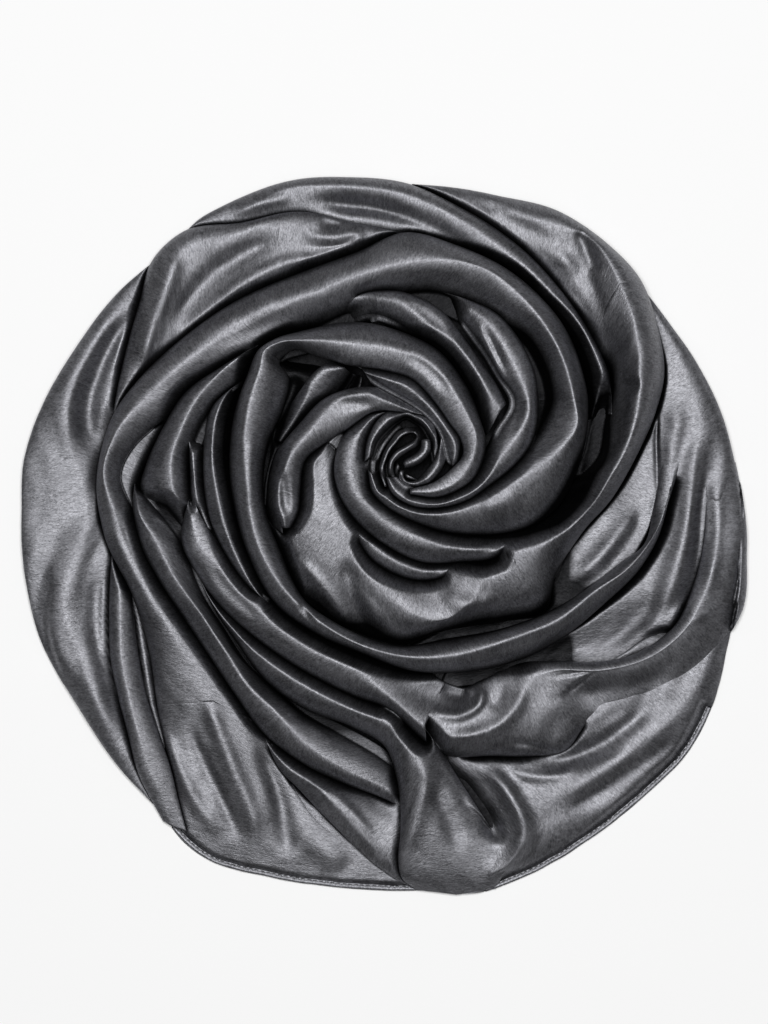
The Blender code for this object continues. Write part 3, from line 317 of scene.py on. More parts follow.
LENGTHS["crown_roll"] = (1.6, "lip", "lip", 0, """
410 494.5 27.2  410 492 29.2  410 489 27.6
437 497.5 27.0  434.5 491 30.6  431 483 28.4
468 484 26.0  460 478 31.0  450 470 28.5
480 468 25.0  473 455 31.5  462 455 28.0
486 445 23.0  475 435 32.0  460 440 28.0
478 412 21.0  466 414 32.0  450 425 28.0
463 380 20.0  448 385 32.0  432 400 27.5
438 350 19.0  425 363 32.0  412 380 27.0
400 331 18.0  395 351 31.5  388 372 26.5
350 322 17.0  352 345 31.0  345 365 25.0
300 331 15.0  312 341 30.5  318 357 21.0
272 340 15.0  280 343 30.0  292 351 19.0
258 350 15.0  266 350 29.5  280 362 17.0
246 377 14.0  261 368 29.0  290 379 15.0
235 408 13.5  251 400 28.0  284 408 15.0
229 448 13.5  245 445 27.0  268 448 15.0
232 497 15.5  249 500 26.0  264 500 17.0
248 555 15.0  261 550 25.5  281 552 16.0
278 607 14.5  290 595 25.0  305 600 16.0
318 635 14.0  325 625 25.0  335 622 16.0
360 653 13.5  362 645 25.0  368 638 16.0
410 671 12.5  407 656 25.0  402 646 15.0
461 672 11.5  458 654 25.0  450 638 13.0
515 662 10.5  510 639 24.5  500 629 12.0
560 640 10.0  558 619 24.0  546 613 12.0
603 606 9.5   598 588 23.0  585 590 13.0
640 570 9.0   632 564 21.5  620 563 14.0
658 540 9.0   654 534 20.0  644 544 14.0
670 500 10.0  668 500 17.5  655 500 14.0
683 458 12.0  676 462 15.0  664 462 13.0
692 432 12.4  686 437 12.9  678 440 12.4
""")

LENGTHS["upper_inner_fold"] = (1.7, "lip", "dive", 8, """
338 306 14.0 342 312 15.5 346 320 14.0
368 292 16.5 372 300 19.5 374 314 16.0
398 291 17.5 396 302 23.0 392 320 18.0
425 300 18.5 418 313 25.0 408 330 19.0
447 316 19.5 436 332 26.5 426 348 20.0
465 340 20.5 455 357 27.5 444 372 21.0
482 364 21.5 474 376 28.0 460 395 22.0
497 386 22.0 489 396 28.0 474 418 22.5
506 404 22.5 500 411 27.0 486 436 23.0
""")

LENGTHS["right_inner_roll"] = (1.7, "lip", "dive", 6, """
440 291 18.5 447 295 19.5 452 303 18.5
468 300 19.5 466 308 22.5 462 320 19.5
494 312 20.5 486 322 26.0 474 336 21.0
514 332 21.0 501 342 27.5 488 356 22.0
528 356 21.5 513 364 28.0 500 376 23.0
536 380 22.0 523 386 28.5 512 393 24.0
538 412 22.0 528 410 30.0 514 408 25.5
530 445 24.0  516 436 31.0  500 432 27.0
512 468 25.0  501 456 31.5  488 455 28.0
490 485 26.0  484 477 31.5  474 470 28.5
468 500 27.0  465 492 31.0  458 484 29.0
440 508 27.0  440 503 30.5  440 496 29.0
412 506 27.0  414 502 30.0  418 495 28.5
391 492.5 27.0  395 490.5 29.8  400 487 28.2
385.5 477 26.6  388 477.5 28.6  390.8 477 27.2
""")

LENGTHS["crown_lining"] = (1.6, "lip", "dive", 5, """
352 364 25.0  362 369 29.0  365 374 27.0
385 370 26.0  385 377 30.5  380 384 27.0
415 378 26.0  408 386 31.0  398 394 27.5
438 392 26.0  428 397 31.0  415 404 27.5
452 410 26.0  444 413 31.0  430 416 28.0
460 435 26.0  454 434 31.0  442 432 28.0
457 468 26.2  454 467 28.8  451 465.5 26.8
""")

LENGTHS["tucked_edge"] = (2.0, "lip", "dive", 4, """
334 359 25.0  338 363 26.5  352 374 19.0
316 371 23.0  321 375 25.5  345 386 17.0
302 388 21.0  307 391 24.5  332 400 17.0
288 409 20.5  292 412 23.5  316 418 17.0
276 430 20.0  281 432 22.5  299 438 18.0
274 440 19.5  278 441 21.0  288 446 18.0
""")

LENGTHS["heart_petal"] = (1.7, "lip", "lip", 0, """
436 410 26.6  435 413 28.4  434 416.5 27.0
395 390 25.0  400 398 30.5  398 412 27.5
355 388 24.0  365 395 31.0  372 413 27.0
325 398 22.0  340 402 30.5  347 430 26.0
298 425 20.0  312 430 29.5  322 446 24.0
275 455 19.0  292 455 28.5  305 462 22.0
267 490 18.0  280 483 27.5  301 490 20.0
270 522 18.0  275 512 26.5  298 515 20.0
283 534 18.0  282 528 25.0  291 528 20.0
""")

LENGTHS["ring_roll"] = (1.7, "lip", "dive", 8, """
392 411 27.0  390 416 29.5  398 424 27.0
362 418 26.0  370 424 30.0  385 440 26.0
342 438 25.0  356 440 30.5  372 455 25.5
334 465 25.0  350 463 30.5  370 472 25.5
338 492 24.0  355 490 30.0  378 492 25.0
355 520 22.0  373 511 29.5  395 508 25.0
385 545 20.0  397 527 28.5  415 518 24.0
420 562 18.0  425 538 27.5  440 525 23.0
460 562 17.0  458 543 26.5  470 528 21.0
495 558 16.0  488 545 25.0  495 532 20.0
512 545 17.0  505 542 23.0  510 534 20.0
""")

LENGTHS["ring_band"] = (1.8, "lip", "dive", 4, """
352 530 21.0  358 534 23.0  362 528 22.0
372 560 18.0  378 548 22.0  384 540 21.0
405 578 16.0  405 562 21.0  410 550 19.0
440 578 15.0  440 570 19.0  450 556 17.0
455 572 15.0  455 568 17.0  460 562 16.0
""")

LENGTHS["heart_rim"] = (1.8, "lip", "dive", 3, """
364 462 26.0  369 458 28.5  372 458 24.0
367 440 26.5  373 440 29.5  377 442 23.5
376 422 27.0  382 427 30.0  386 431 23.0
392 409 27.0  395 416 30.0  398 421 22.5
406 403 27.0  406 411 30.3  406 417 22.5
421 408 27.0  418 416 30.3  416 422 22.5
432 420 27.0  427 424 30.3  423.5 428 23.5
436 431.5 26.5  432 434 30.3  428.5 436.5 24.0
438 445.5 26.5  434.5 447 30.2  431.5 448 24.5
440 456.5 26.5  437 458.5 30.0  434 460.5 25.0
441.5 465 26.5  438.5 466.5 29.0  435.5 468 26.0
""")

LENGTHS["heart_loop"] = (1.8, "lip", "lip", 0, """
385 487 26.0  387 486 28.5  389 485 25.0
380 470 26.0  382 470 30.0  384.5 470 24.5
385 451 26.0  387 452 30.3  389.5 453.5 23.5
391.5 440.5 26.0  394 442 30.4  396.5 444 22.5
398 432 26.0  400 434.5 30.5  402 437 22.0
407.5 428.5 26.0  408 431 30.5  408 434 22.0
417.5 428.5 26.0  416 431 30.5  414 433.5 22.0
421.5 436 26.0  419 436.5 30.5  416.5 436.5 22.0
419.5 443.5 26.0  417.5 441.5 30.5  415 439.5 22.5
409.5 450.5 26.0  408 448 30.5  406.5 445 23.0
400 457 26.0  397 454.5 30.5  394 452 23.0
393.5 463 26.0  391 463 30.3  388.5 462 24.5
393 471 26.0  390.5 471 30.2  388 471.5 25.0
395.5 477 26.0  393 478 30.0  390.5 479.5 25.0
399.5 482 26.0  398 484.5 30.0  396.5 487 25.0
407 488 26.0  406 490.5 30.0  405 493.5 25.0
419 491.5 26.0  419 494 29.8  418.5 497 25.5
434 490.5 26.0  435 493 29.3  436 496 25.5
""")

LENGTHS["heart_core"] = (1.8, "lip", "lip", 0, """
404 470 26.0  402 470 29.5  400 470 25.0
403 476 25.5  400.8 476 30.0  398.8 477 26.0
405.5 480.5 25.0  403.5 482 30.0  402 484.5 26.5
411 482 25.0  410.5 485 30.2  410 487.5 26.5
417.5 480.5 26.0  419 485 30.2  421 488.5 26.0
423.5 474.5 26.5  427.5 478.5 30.3  431 482 26.0
431 465.5 27.0  435 469 30.2  439 472.5 26.5
436.5 456.5 27.0  440.5 458.5 30.2  445 460.5 27.0
440 446 27.0  444 446.5 30.0  448.5 447 27.0
440.5 437 27.0  444 437 29.6  448.5 436.5 27.0
438 431 27.0  441 430 29.0  445 428 27.0
""")

LENGTHS["heart_tip"] = (2.0, "lip", "lip", 0, """
421 440.5 26.5  426.5 439.5 29.5  430.5 440.5 26.5
420 448.5 26.0  426 449.5 30.3  430.5 451.5 26.0
414.5 453.5 26.0  419.5 457.5 30.3  423 461.5 25.5
407.5 457.5 26.0  410.5 462.5 29.8  412.5 467 25.5
402.5 461 26.0  404 465 28.8  405.5 469 26.0
""")

# length -> (row where the bow starts, bow outside the crest, bow inside it), chart units
BOWS = {"main_roll": (27, 9.0, 6.0)}

# stretches that show, bottom to top: name, length, first row, last row
STACK = [
 ("left_panel", "left_panel", 0, 10),
 ("right_panel", "right_panel", 0, 10),
 ("lower_right_panel", "lower_right_panel", 0, 9),
 ("s_fold", "lower_roll", 9, 21),
 ("upper_right_panel", "right_roll", 0, 5),
 ("right_roll", "right_roll", 5, 13),
 ("cradle_fold", "right_roll", 13, 25),
 ("top_roll", "top_roll", 0, 11),
 ("upper_left_panel", "upper_left_panel", 0, 9),
 ("narrow_roll_top", "left_narrow_roll", 0, 2),
 ("lower_left_skirt", "main_roll", 27, 30),
 ("left_narrow_roll", "left_narrow_roll", 2, 8),
 ("petal_side", "petal_side", 0, 6),
 ("left_sweep", "main_roll", 23, 27),
 ("main_roll", "main_roll", 10, 23),
 ("ring_band", "ring_band", 0, 4),
 ("ring_roll", "ring_roll", 0, 10),
 ("inner_sweep", "main_roll", 0, 10),
 ("left_inner_roll", "left_inner_roll", 0, 7),
 ("left_lower_roll", "left_lower_roll", 0, 11),
 ("petal", "petal", 0, 12),
 ("left_strip", "left_strip", 0, 5),
 ("lower_roll", "lower_roll", 0, 9),
 ("left_sheet", "left_sheet", 0, 7),
 ("upper_inner_fold", "upper_inner_fold", 0, 8),
 ("upper_inner_sheet", "right_inner_roll", 0, 5),
 ("tucked_edge", "tucked_edge", 0, 5),
 ("heart_loop", "heart_loop", 0, 17),
 ("heart_rim", "heart_rim", 0, 10),
 ("heart_core", "heart_core", 0, 10),
 ("heart_tip", "heart_tip", 0, 4),
 ("right_inner_roll", "right_inner_roll", 5, 14),
 ("heart_petal", "heart_petal", 0, 8),
 ("crown_lining", "crown_lining", 0, 6),
 ("lower_right_roll", "crown_roll", 21, 30),
 ("inner_left_roll", "crown_roll", 12, 21),
 ("crown_roll", "crown_roll", 0, 12),
]

# hem, panel that it edges, rows of the panel's outer edge (or None and its last row)
HEMS = [
    ("hem_lower_right", "lower_right_panel", 2.0, 8.0),
    ("hem_lower_left", "lower_left_skirt", None, 30),
]

# Creases: on which stretch, how far each end fades (share of its length), and
# rows of x, y (chart units), height in mm (a trough is negative), half-width to
# the left and to the right of the way it runs (chart units)
CREASES = [
    ("left_panel", 0.25, """
     140 290 1.2 9 9
     115 318 1.8 9 12
     95 345 2.4 10 14
     78 372 2.6 11 15
     67 405 2.4 12 16
     68 435 2.0 12 14
     84 466 1.2 10 10
     """),
    ("left_panel", 0.2, """
     132 306 -1.6 8 8
     112 338 -3.2 9 10
     98 370 -4.2 10 11
     88 402 -4.6 11 12
     88 436 -4.0 11 12
     94 462 -2.0 9 9
     """),
    ("left_panel", 0.3, """
     126 385 -1.0 10 8
     108 430 -2.4 14 12
     103 460 -2.6 14 10
     96 500 -1.6 12 10
     92 530 -0.8 10 8
     """),
    ("left_panel", 0.2, """
     100 492 1.0 10 8
     90 515 2.0 12 12
     82 540 2.6 14 16
     70 575 2.4 16 20
     62 610 1.8 16 22
     74 645 1.8 14 16
     90 680 2.0 12 12
     103 715 1.8 9 9
     124 752 1.2 8 8
     """),
    ("left_panel", 0.25, """
     46 540 -1.0 9 9
     40 590 -1.8 9 10
     44 640 -2.0 8 12
     62 680 -1.6 8 12
     84 712 -1.0 8 10
     """),
    ("left_panel", 0.2, """
     52 570 -0.8 2 5
     46 620 -1.1 2 6
     52 655 -1.0 2 6
     64 684 -0.7 2 5
     """),
    ("left_panel", 0.2, """
     100 560 -1.2 7 7
     96 600 -2.4 8 8
     98 640 -2.8 9 9
     112 690 -2.4 8 8
     128 735 -1.5 6 6
     """),
    ("upper_left_panel", 0.2, """
     180 242 1.6 7 9
     166 290 2.6 9 11
     152 330 2.8 9 12
     140 372 2.0 8 10
     """),
    ("upper_left_panel", 0.15, """
     298 216 1.4 6 6
     310 234 1.8 6 7
     334 238 2.0 7 7
     356 234 1.6 6 6
     352 250 2.0 7 8
     320 259 2.4 7 8
     286 264 2.6 8 9
     245 284 2.8 9 9
     205 316 2.4 9 9
     168 348 1.6 8 8
     """),
    ("upper_left_panel", 0.25, """
     318 222 -1.6 6 6
     345 226 -1.4 5 5
     """),
    ("upper_left_panel", 0.2, """
     285 236 -1.6 8 8
     250 250 -2.8 10 10
     215 272 -3.0 12 10
     190 298 -2.6 11 9
     172 330 -1.8 8 8
     """),
    ("top_roll", 0.25, """
     300 204 -1.2 6 6
     340 206 -2.2 7 7
     400 214 -2.4 8 7
     450 236 -2.0 8 7
     490 262 -1.4 6 6
     """),
    ("top_roll", 0.25, """
     230 214 1.2 6 6
     262 203 1.5 6 6
     295 196 1.2 6 6
     """),
    ("top_roll", 0.35, """
     298 200 -0.8 5 5
     320 200 -2.2 7 6
     346 202 -3.4 9 8
     374 206 -3.6 9 8
     402 215 -2.2 8 7
     428 227 -0.8 5 5
     """),
    ("upper_right_panel", 0.2, """
     574 229 -1.4 5 5
     583 241 -3.4 8 7
     590 257 -3.6 8 7
     596 276 -2.2 7 6
     """),
    ("upper_right_panel", 0.2, """
     470 196 -1.0 6 6
     520 222 -2.0 9 9
     570 252 -3.0 12 10
     592 282 -3.2 12 10
     604 322 -2.6 10 8
     """),
    ("upper_right_panel", 0.2, """
     490 204 1.4 8 8
     530 222 2.4 11 12
     562 250 2.6 12 12
     572 280 2.0 10 8
     """),
    ("upper_right_panel", 0.2, """
     560 290 1.6 5 4
     580 320 2.2 6 5
     598 352 2.2 6 5
     610 385 1.6 5 4
     """),
    ("right_roll", 0.3, """
     640 330 -1.0 6 6
     628 372 -1.5 6 7
     620 410 -1.4 6 7
     606 450 -1.0 6 6
     """),
    ("main_roll", 0.3, """
     300 312 -0.9 9 9
     262 326 -1.4 9 11
     226 342 -1.2 9 9
     200 358 -0.8 7 7
     """),
    ("main_roll", 0.3, """
     330 286 0.9 9 9
     280 300 1.3 12 12
     236 322 1.1 10 10
     """),
    ("main_roll", 0.25, """
     545 405 0.8 4 4
     540 430 1.4 5 5
     535 460 1.0 4 4
     """),
    ("main_roll", 0.25, """
     562 398 -1.5 7 7
     562 418 -3.2 9 8
     556 434 -2.0 7 7
     """),
    ("inner_sweep", 0.25, """
     520 490 1.0 9 9
     500 505 1.6 12 12
     478 512 1.2 10 10
     """),
    ("left_sweep", 0.3, """
     118 500 -0.8 6 6
     128 540 -1.4 6 7
     150 585 -1.2 6 6
     172 622 -0.8 5 5
     """),
    ("left_sweep", 0.25, """
     134 520 1.0 5 5
     152 562 1.4 6 6
     178 602 1.2 6 6
     """),
    ("right_panel", 0.2, """
     706 425 1.6 9 9
     695 452 3.0 10 11
     690 505 3.4 10 12
     682 548 3.6 10 12
     668 592 3.4 9 11
     652 624 2.6 8 10
     625 645 1.8 7 8
     596 660 1.0 6 6
     """),
    ("right_panel", 0.25, """
     722 455 1.4 7 7
     718 500 2.0 7 8
     714 560 2.2 7 8
     702 602 2.0 7 8
     676 640 1.6 6 7
     648 656 1.0 6 6
     """),
    ("right_panel", 0.2, """
     706 465 -1.2 6 6
     702 505 -2.6 7 7
     700 545 -3.2 8 7
     692 585 -3.0 8 7
     678 618 -2.0 6 6
     """),
    ("right_panel", 0.12, """
     658 412 -1.0 2 3
     657 440 -1.3 2 3
     658 470 -1.3 2 3
     659 500 -0.9 2 3
     """),
    ("right_panel", 0.25, """
     672 388 1.2 8 8
     678 412 2.2 10 10
     672 450 2.2 10 9
     664 492 1.8 8 7
     652 530 1.6 8 7
     628 560 1.4 8 7
     """),
    ("right_panel", 0.25, """
     640 505 -1.6 9 9
     622 535 -3.2 12 12
     600 562 -3.6 12 12
     570 585 -2.2 10 10
     """),
    ("right_panel", 0.2, """
     644 500 0.8 6 6
     636 525 2.2 8 7
     616 556 2.6 9 8
     592 580 2.0 8 8
     570 594 1.2 7 7
     """),
    ("right_panel", 0.3, """
     700 600 0.8 7 7
     668 622 1.5 9 9
     640 634 1.2 9 9
     """),
    ("lower_roll", 0.1, """
     372 662 -0.8 10 12
     396 676 -2.6 14 16
     420 689 -4.6 16 18
     444 697 -4.6 16 18
     468 702 -2.0 12 12
     """),
    ("s_fold", 0.1, """
     372 662 -0.8 10 12
     396 676 -2.6 14 16
     420 689 -4.6 16 18
     444 697 -4.6 16 18
     468 702 -2.0 12 12
     """),
    ("s_fold", 0.3, """
     438 688 -1.0 8 8
     452 692 -2.4 9 8
     466 696 -3.4 9 8
     473 693 -2.0 7 6
     """),
    ("s_fold", 0.15, """
     428 708 1.0 5 5
     444 714 2.2 6 6
     462 714 2.6 6 6
     477 706 2.6 6 5
     481 694 2.2 5 5
     474 686 1.2 4 4
     """),
    ("s_fold", 0.25, """
     440 734 1.2 6 6
     466 736 1.8 8 7
     494 728 1.6 8 7
     512 712 1.4 7 7
     522 694 1.6 6 6
     530 680 1.4 6 6
     """),
    ("s_fold", 0.3, """
     488 712 -0.8 7 7
     498 698 -1.4 8 8
     506 680 -0.8 7 7
     """),
    ("s_fold", 0.3, """
     545 690 -1.2 8 8
     590 692 -2.4 10 10
     640 686 -2.4 10 10
     680 660 -1.6 8 8
     """),
    ("s_fold", 0.25, """
     505 741 -0.8 3 3
     535 746 -1.2 3 4
     560 754 -0.9 3 4
     """),
    ("s_fold", 0.3, """
     716 470 0.5 5 5
     718 520 1.0 6 6
     712 575 1.2 6 7
     700 610 1.0 6 6
     """),
    ("lower_right_panel", 0.2, """
     482 766 1.4 6 6
     500 782 2.4 8 8
     514 806 2.8 9 9
     524 832 2.6 10 9
     516 856 2.2 9 9
     498 868 1.6 8 8
     466 877 1.0 7 7
     """),
    ("lower_right_panel", 0.2, """
     458 770 -1.4 7 7
     474 796 -3.0 9 9
     490 826 -3.0 9 9
     500 848 -1.8 7 7
     """),
    ("lower_right_panel", 0.25, """
     505 768 0.9 5 5
     530 776 1.4 5 6
     556 776 1.0 5 5
     580 768 0.7 4 4
     """),
    ("lower_right_panel", 0.25, """
     540 800 1.2 9 9
     570 790 2.0 12 10
     610 766 2.2 12 10
     650 736 1.8 12 10
     690 704 1.2 9 9
     """),
    ("lower_right_panel", 0.25, """
     520 762 -1.0 7 7
     560 764 -2.2 9 9
     600 745 -2.4 9 9
     640 715 -2.0 9 9
     672 688 -1.2 7 7
     """),
    ("lower_right_panel", 0.25, """
     560 818 -0.8 6 6
     600 792 -1.6 8 8
     648 762 -1.6 8 8
     690 726 -1.0 6 6
     """),
    ("lower_left_skirt", 0.2, """
     204 690 1.4 6 6
     214 720 2.4 8 8
     232 766 2.8 9 10
     250 810 2.4 9 10
     260 850 1.4 8 8
     """),
    ("lower_left_skirt", 0.2, """
     162 724 0.9 6 6
     176 762 1.8 7 8
     194 800 1.8 8 8
     222 838 1.2 8 8
     """),
    ("lower_left_skirt", 0.2, """
     186 720 -1.0 5 5
     205 765 -1.8 6 7
     225 808 -1.8 7 7
     240 846 -1.0 6 6
     """),
    ("lower_left_skirt", 0.2, """
     256 745 -1.5 8 8
     276 790 -3.0 10 10
     284 830 -2.8 10 10
     290 862 -1.6 9 9
     """),
    ("lower_left_skirt", 0.25, """
     300 820 1.0 10 10
     318 846 1.8 13 13
     346 872 1.2 12 10
     """),
    ("petal", 0.25, """
     412 752 1.0 7 7
     426 780 1.8 8 8
     420 806 1.6 8 8
     412 836 1.4 8 8
     402 856 1.0 7 7
     """),
    ("petal", 0.25, """
     436 750 0.8 5 5
     456 776 1.4 6 6
     474 802 1.6 6 6
     488 838 1.2 6 6
     """),
    ("petal", 0.25, """
     420 770 -0.6 6 6
     440 800 -1.6 8 8
     454 836 -1.8 9 9
     458 862 -1.0 8 8
     """),
    ("petal_side", 0.3, """
     300 770 1.0 5 5
     330 800 1.6 6 6
     360 834 1.4 6 6
     384 858 0.9 5 5
     """),
    ("petal_side", 0.3, """
     324 782 0.9 4 4
     352 812 1.4 5 5
     378 842 1.0 4 4
     """),
    ("petal_side", 0.25, """
     285 776 -1.2 5 5
     306 792 -2.2 7 7
     322 808 -1.0 5 5
     """),
    ("left_lower_roll", 0.25, """
     150 516 0.8 3 3
     162 520 1.4 4 3
     172 530 1.2 4 3
     180 541 0.8 3 3
     """),
    ("left_sheet", 0.2, """
     236 394 0.8 5 5
     225 408 1.4 5 6
     217 440 1.8 6 6
     218 482 1.8 6 6
     228 522 1.6 6 6
     242 564 1.0 5 5
     """),
    ("crown_roll", 0.25, """
     275 350 -1.5 6 6
     292 364 -3.0 8 8
     310 368 -2.0 7 7
     """),
    ("crown_roll", 0.3, """
     400 352 -0.8 5 5
     430 372 -1.3 6 6
     452 398 -1.0 5 5
     """),
    ("inner_left_roll", 0.25, """
     299 602 -1.0 3 3
     306 612 -1.8 3 4
     313 624 -1.0 3 3
     """),
    ("inner_left_roll", 0.25, """
     308 598 0.6 3 4
     318 608 0.9 3 4
     326 620 0.6 3 3
     """),
    ("inner_left_roll", 0.3, """
     256 430 0.8 6 6
     252 470 1.1 7 7
     256 510 0.9 6 6
     """),
    ("cradle_fold", 0.2, """
     342 556 -1.6 7 7
     352 590 -3.0 9 9
     366 622 -2.4 9 9
     388 642 -1.4 7 7
     """),
    ("cradle_fold", 0.2, """
     296 556 1.0 5 5
     312 574 1.8 6 6
     328 594 2.2 7 7
     342 614 2.0 7 7
     354 630 1.2 6 6
     """),
    ("cradle_fold", 0.2, """
     300 590 -1.6 6 6
     318 606 -3.0 8 8
     330 620 -1.6 6 6
     """),
    ("cradle_fold", 0.25, """
     440 588 1.0 8 8
     458 602 1.8 9 9
     480 604 1.6 8 8
     500 594 1.0 7 7
     """),
    ("cradle_fold", 0.3, """
     508 560 0.9 4 4
     520 556 1.2 4 5
     532 550 0.8 4 4
     """),
    ("heart_petal", 0.25, """
     282 470 -1.6 5 5
     284 495 -3.0 6 6
     286 518 -2.0 5 5
     """),
    ("heart_petal", 0.3, """
     330 404 -0.7 5 5
     352 404 -1.2 5 6
     380 404 -0.8 5 5
     """),
    ("ring_roll", 0.3, """
     372 506 -0.7 5 5
     398 522 -1.2 5 6
     432 534 -1.0 5 5
     """),
    ("ring_roll", 0.25, """
     462 540 0.8 4 4
     482 541 1.1 4 4
     500 544 0.7 4 4
     """),
    ("upper_inner_fold", 0.25, """
     400 298 -0.7 5 5
     430 318 -1.4 6 6
     456 344 -1.2 6 6
     """),
    ("upper_inner_fold", 0.25, """
     412 322 0.8 4 4
     430 340 1.2 4 5
     448 366 1.0 4 4
     """),
    ("upper_inner_sheet", 0.2, """
     474 318 1.0 4 6
     484 340 1.8 4 7
     496 366 1.8 4 6
     508 388 1.0 4 5
     """),
    ("upper_inner_sheet", 0.25, """
     482 326 -0.6 3 3
     494 348 -1.2 3 3
     506 372 -0.8 3 3
     """),
    ("right_inner_roll", 0.3, """
     522 392 -0.6 4 4
     518 416 -1.0 4 5
     508 440 -0.8 4 4
     """),
    ("left_lower_roll", 0.3, """
     176 590 -0.7 5 5
     206 636 -1.2 6 6
     240 684 -1.0 6 6
     """),
    ("lower_roll", 0.3, """
     206 562 -0.7 5 5
     232 594 -1.0 5 6
     268 626 -0.8 5 5
     """),
    ("lower_right_roll", 0.3, """
     450 662 -0.6 4 4
     500 650 -1.0 5 5
     560 626 -0.8 5 5
     """),
    ("lower_right_roll", 0.3, """
     590 598 0.8 6 6
     622 572 1.2 7 7
     644 546 0.8 6 6
     """),
    # the dark gaps, where the panel sinks between the rolls
    ("right_panel", 0.15, """
     430 640 -2.0 12 12
     480 632 -3.5 12 12
     530 624 -3.5 12 10
     575 612 -2.0 8 8
     """),
    ("right_panel", 0.15, """
     440 668 -2.0 14 14
     500 664 -3.6 18 14
     560 652 -4.6 20 18
     606 638 -4.6 24 20
     646 620 -3.6 20 18
     676 588 -2.0 14 12
     """),
    ("right_roll", 0.15, """
     590 398 1.5 5 5
     584 430 3.0 6 7
     580 462 2.6 6 7
     574 492 1.5 5 5
     """),
    ("lower_right_panel", 0.2, """
     470 752 -1.6 10 8
     520 752 -2.4 12 9
     565 758 -2.6 12 10
     600 752 -2.0 12 10
     640 742 -0.8 10 8
     """),
    ("lower_right_panel", 0.15, """
     446 762 -1.5 5 7
     466 788 -2.4 6 9
     486 812 -2.8 7 10
     500 836 -2.2 7 9
     498 850 -1.2 6 7
     """),
    ("lower_right_panel", 0.2, """
     470 762 1.4 8 7
     500 784 2.2 10 8
     520 812 2.4 10 8
     524 838 1.6 9 8
     506 862 0.8 7 6
     """),
    # the hood over the heart, and the pocket that opens under it
    ("cradle_fold", 0.15, """
     276 356 -6.0 9 9
     300 358 -8.0 10 10
     325 362 -8.0 10 10
     350 368 -6.0 9 9
     368 376 -4.0 8 8
     """),
    ("cradle_fold", 0.25, """
     272 372 0.8 6 6
     278 388 1.8 7 7
     276 404 1.4 7 7
     271 420 0.8 6 6
     """),
    ("cradle_fold", 0.2, """
     298 372 -3.0 7 7
     292 392 -4.5 8 8
     284 412 -4.0 7 7
     276 436 -3.0 6 6
     """),
]


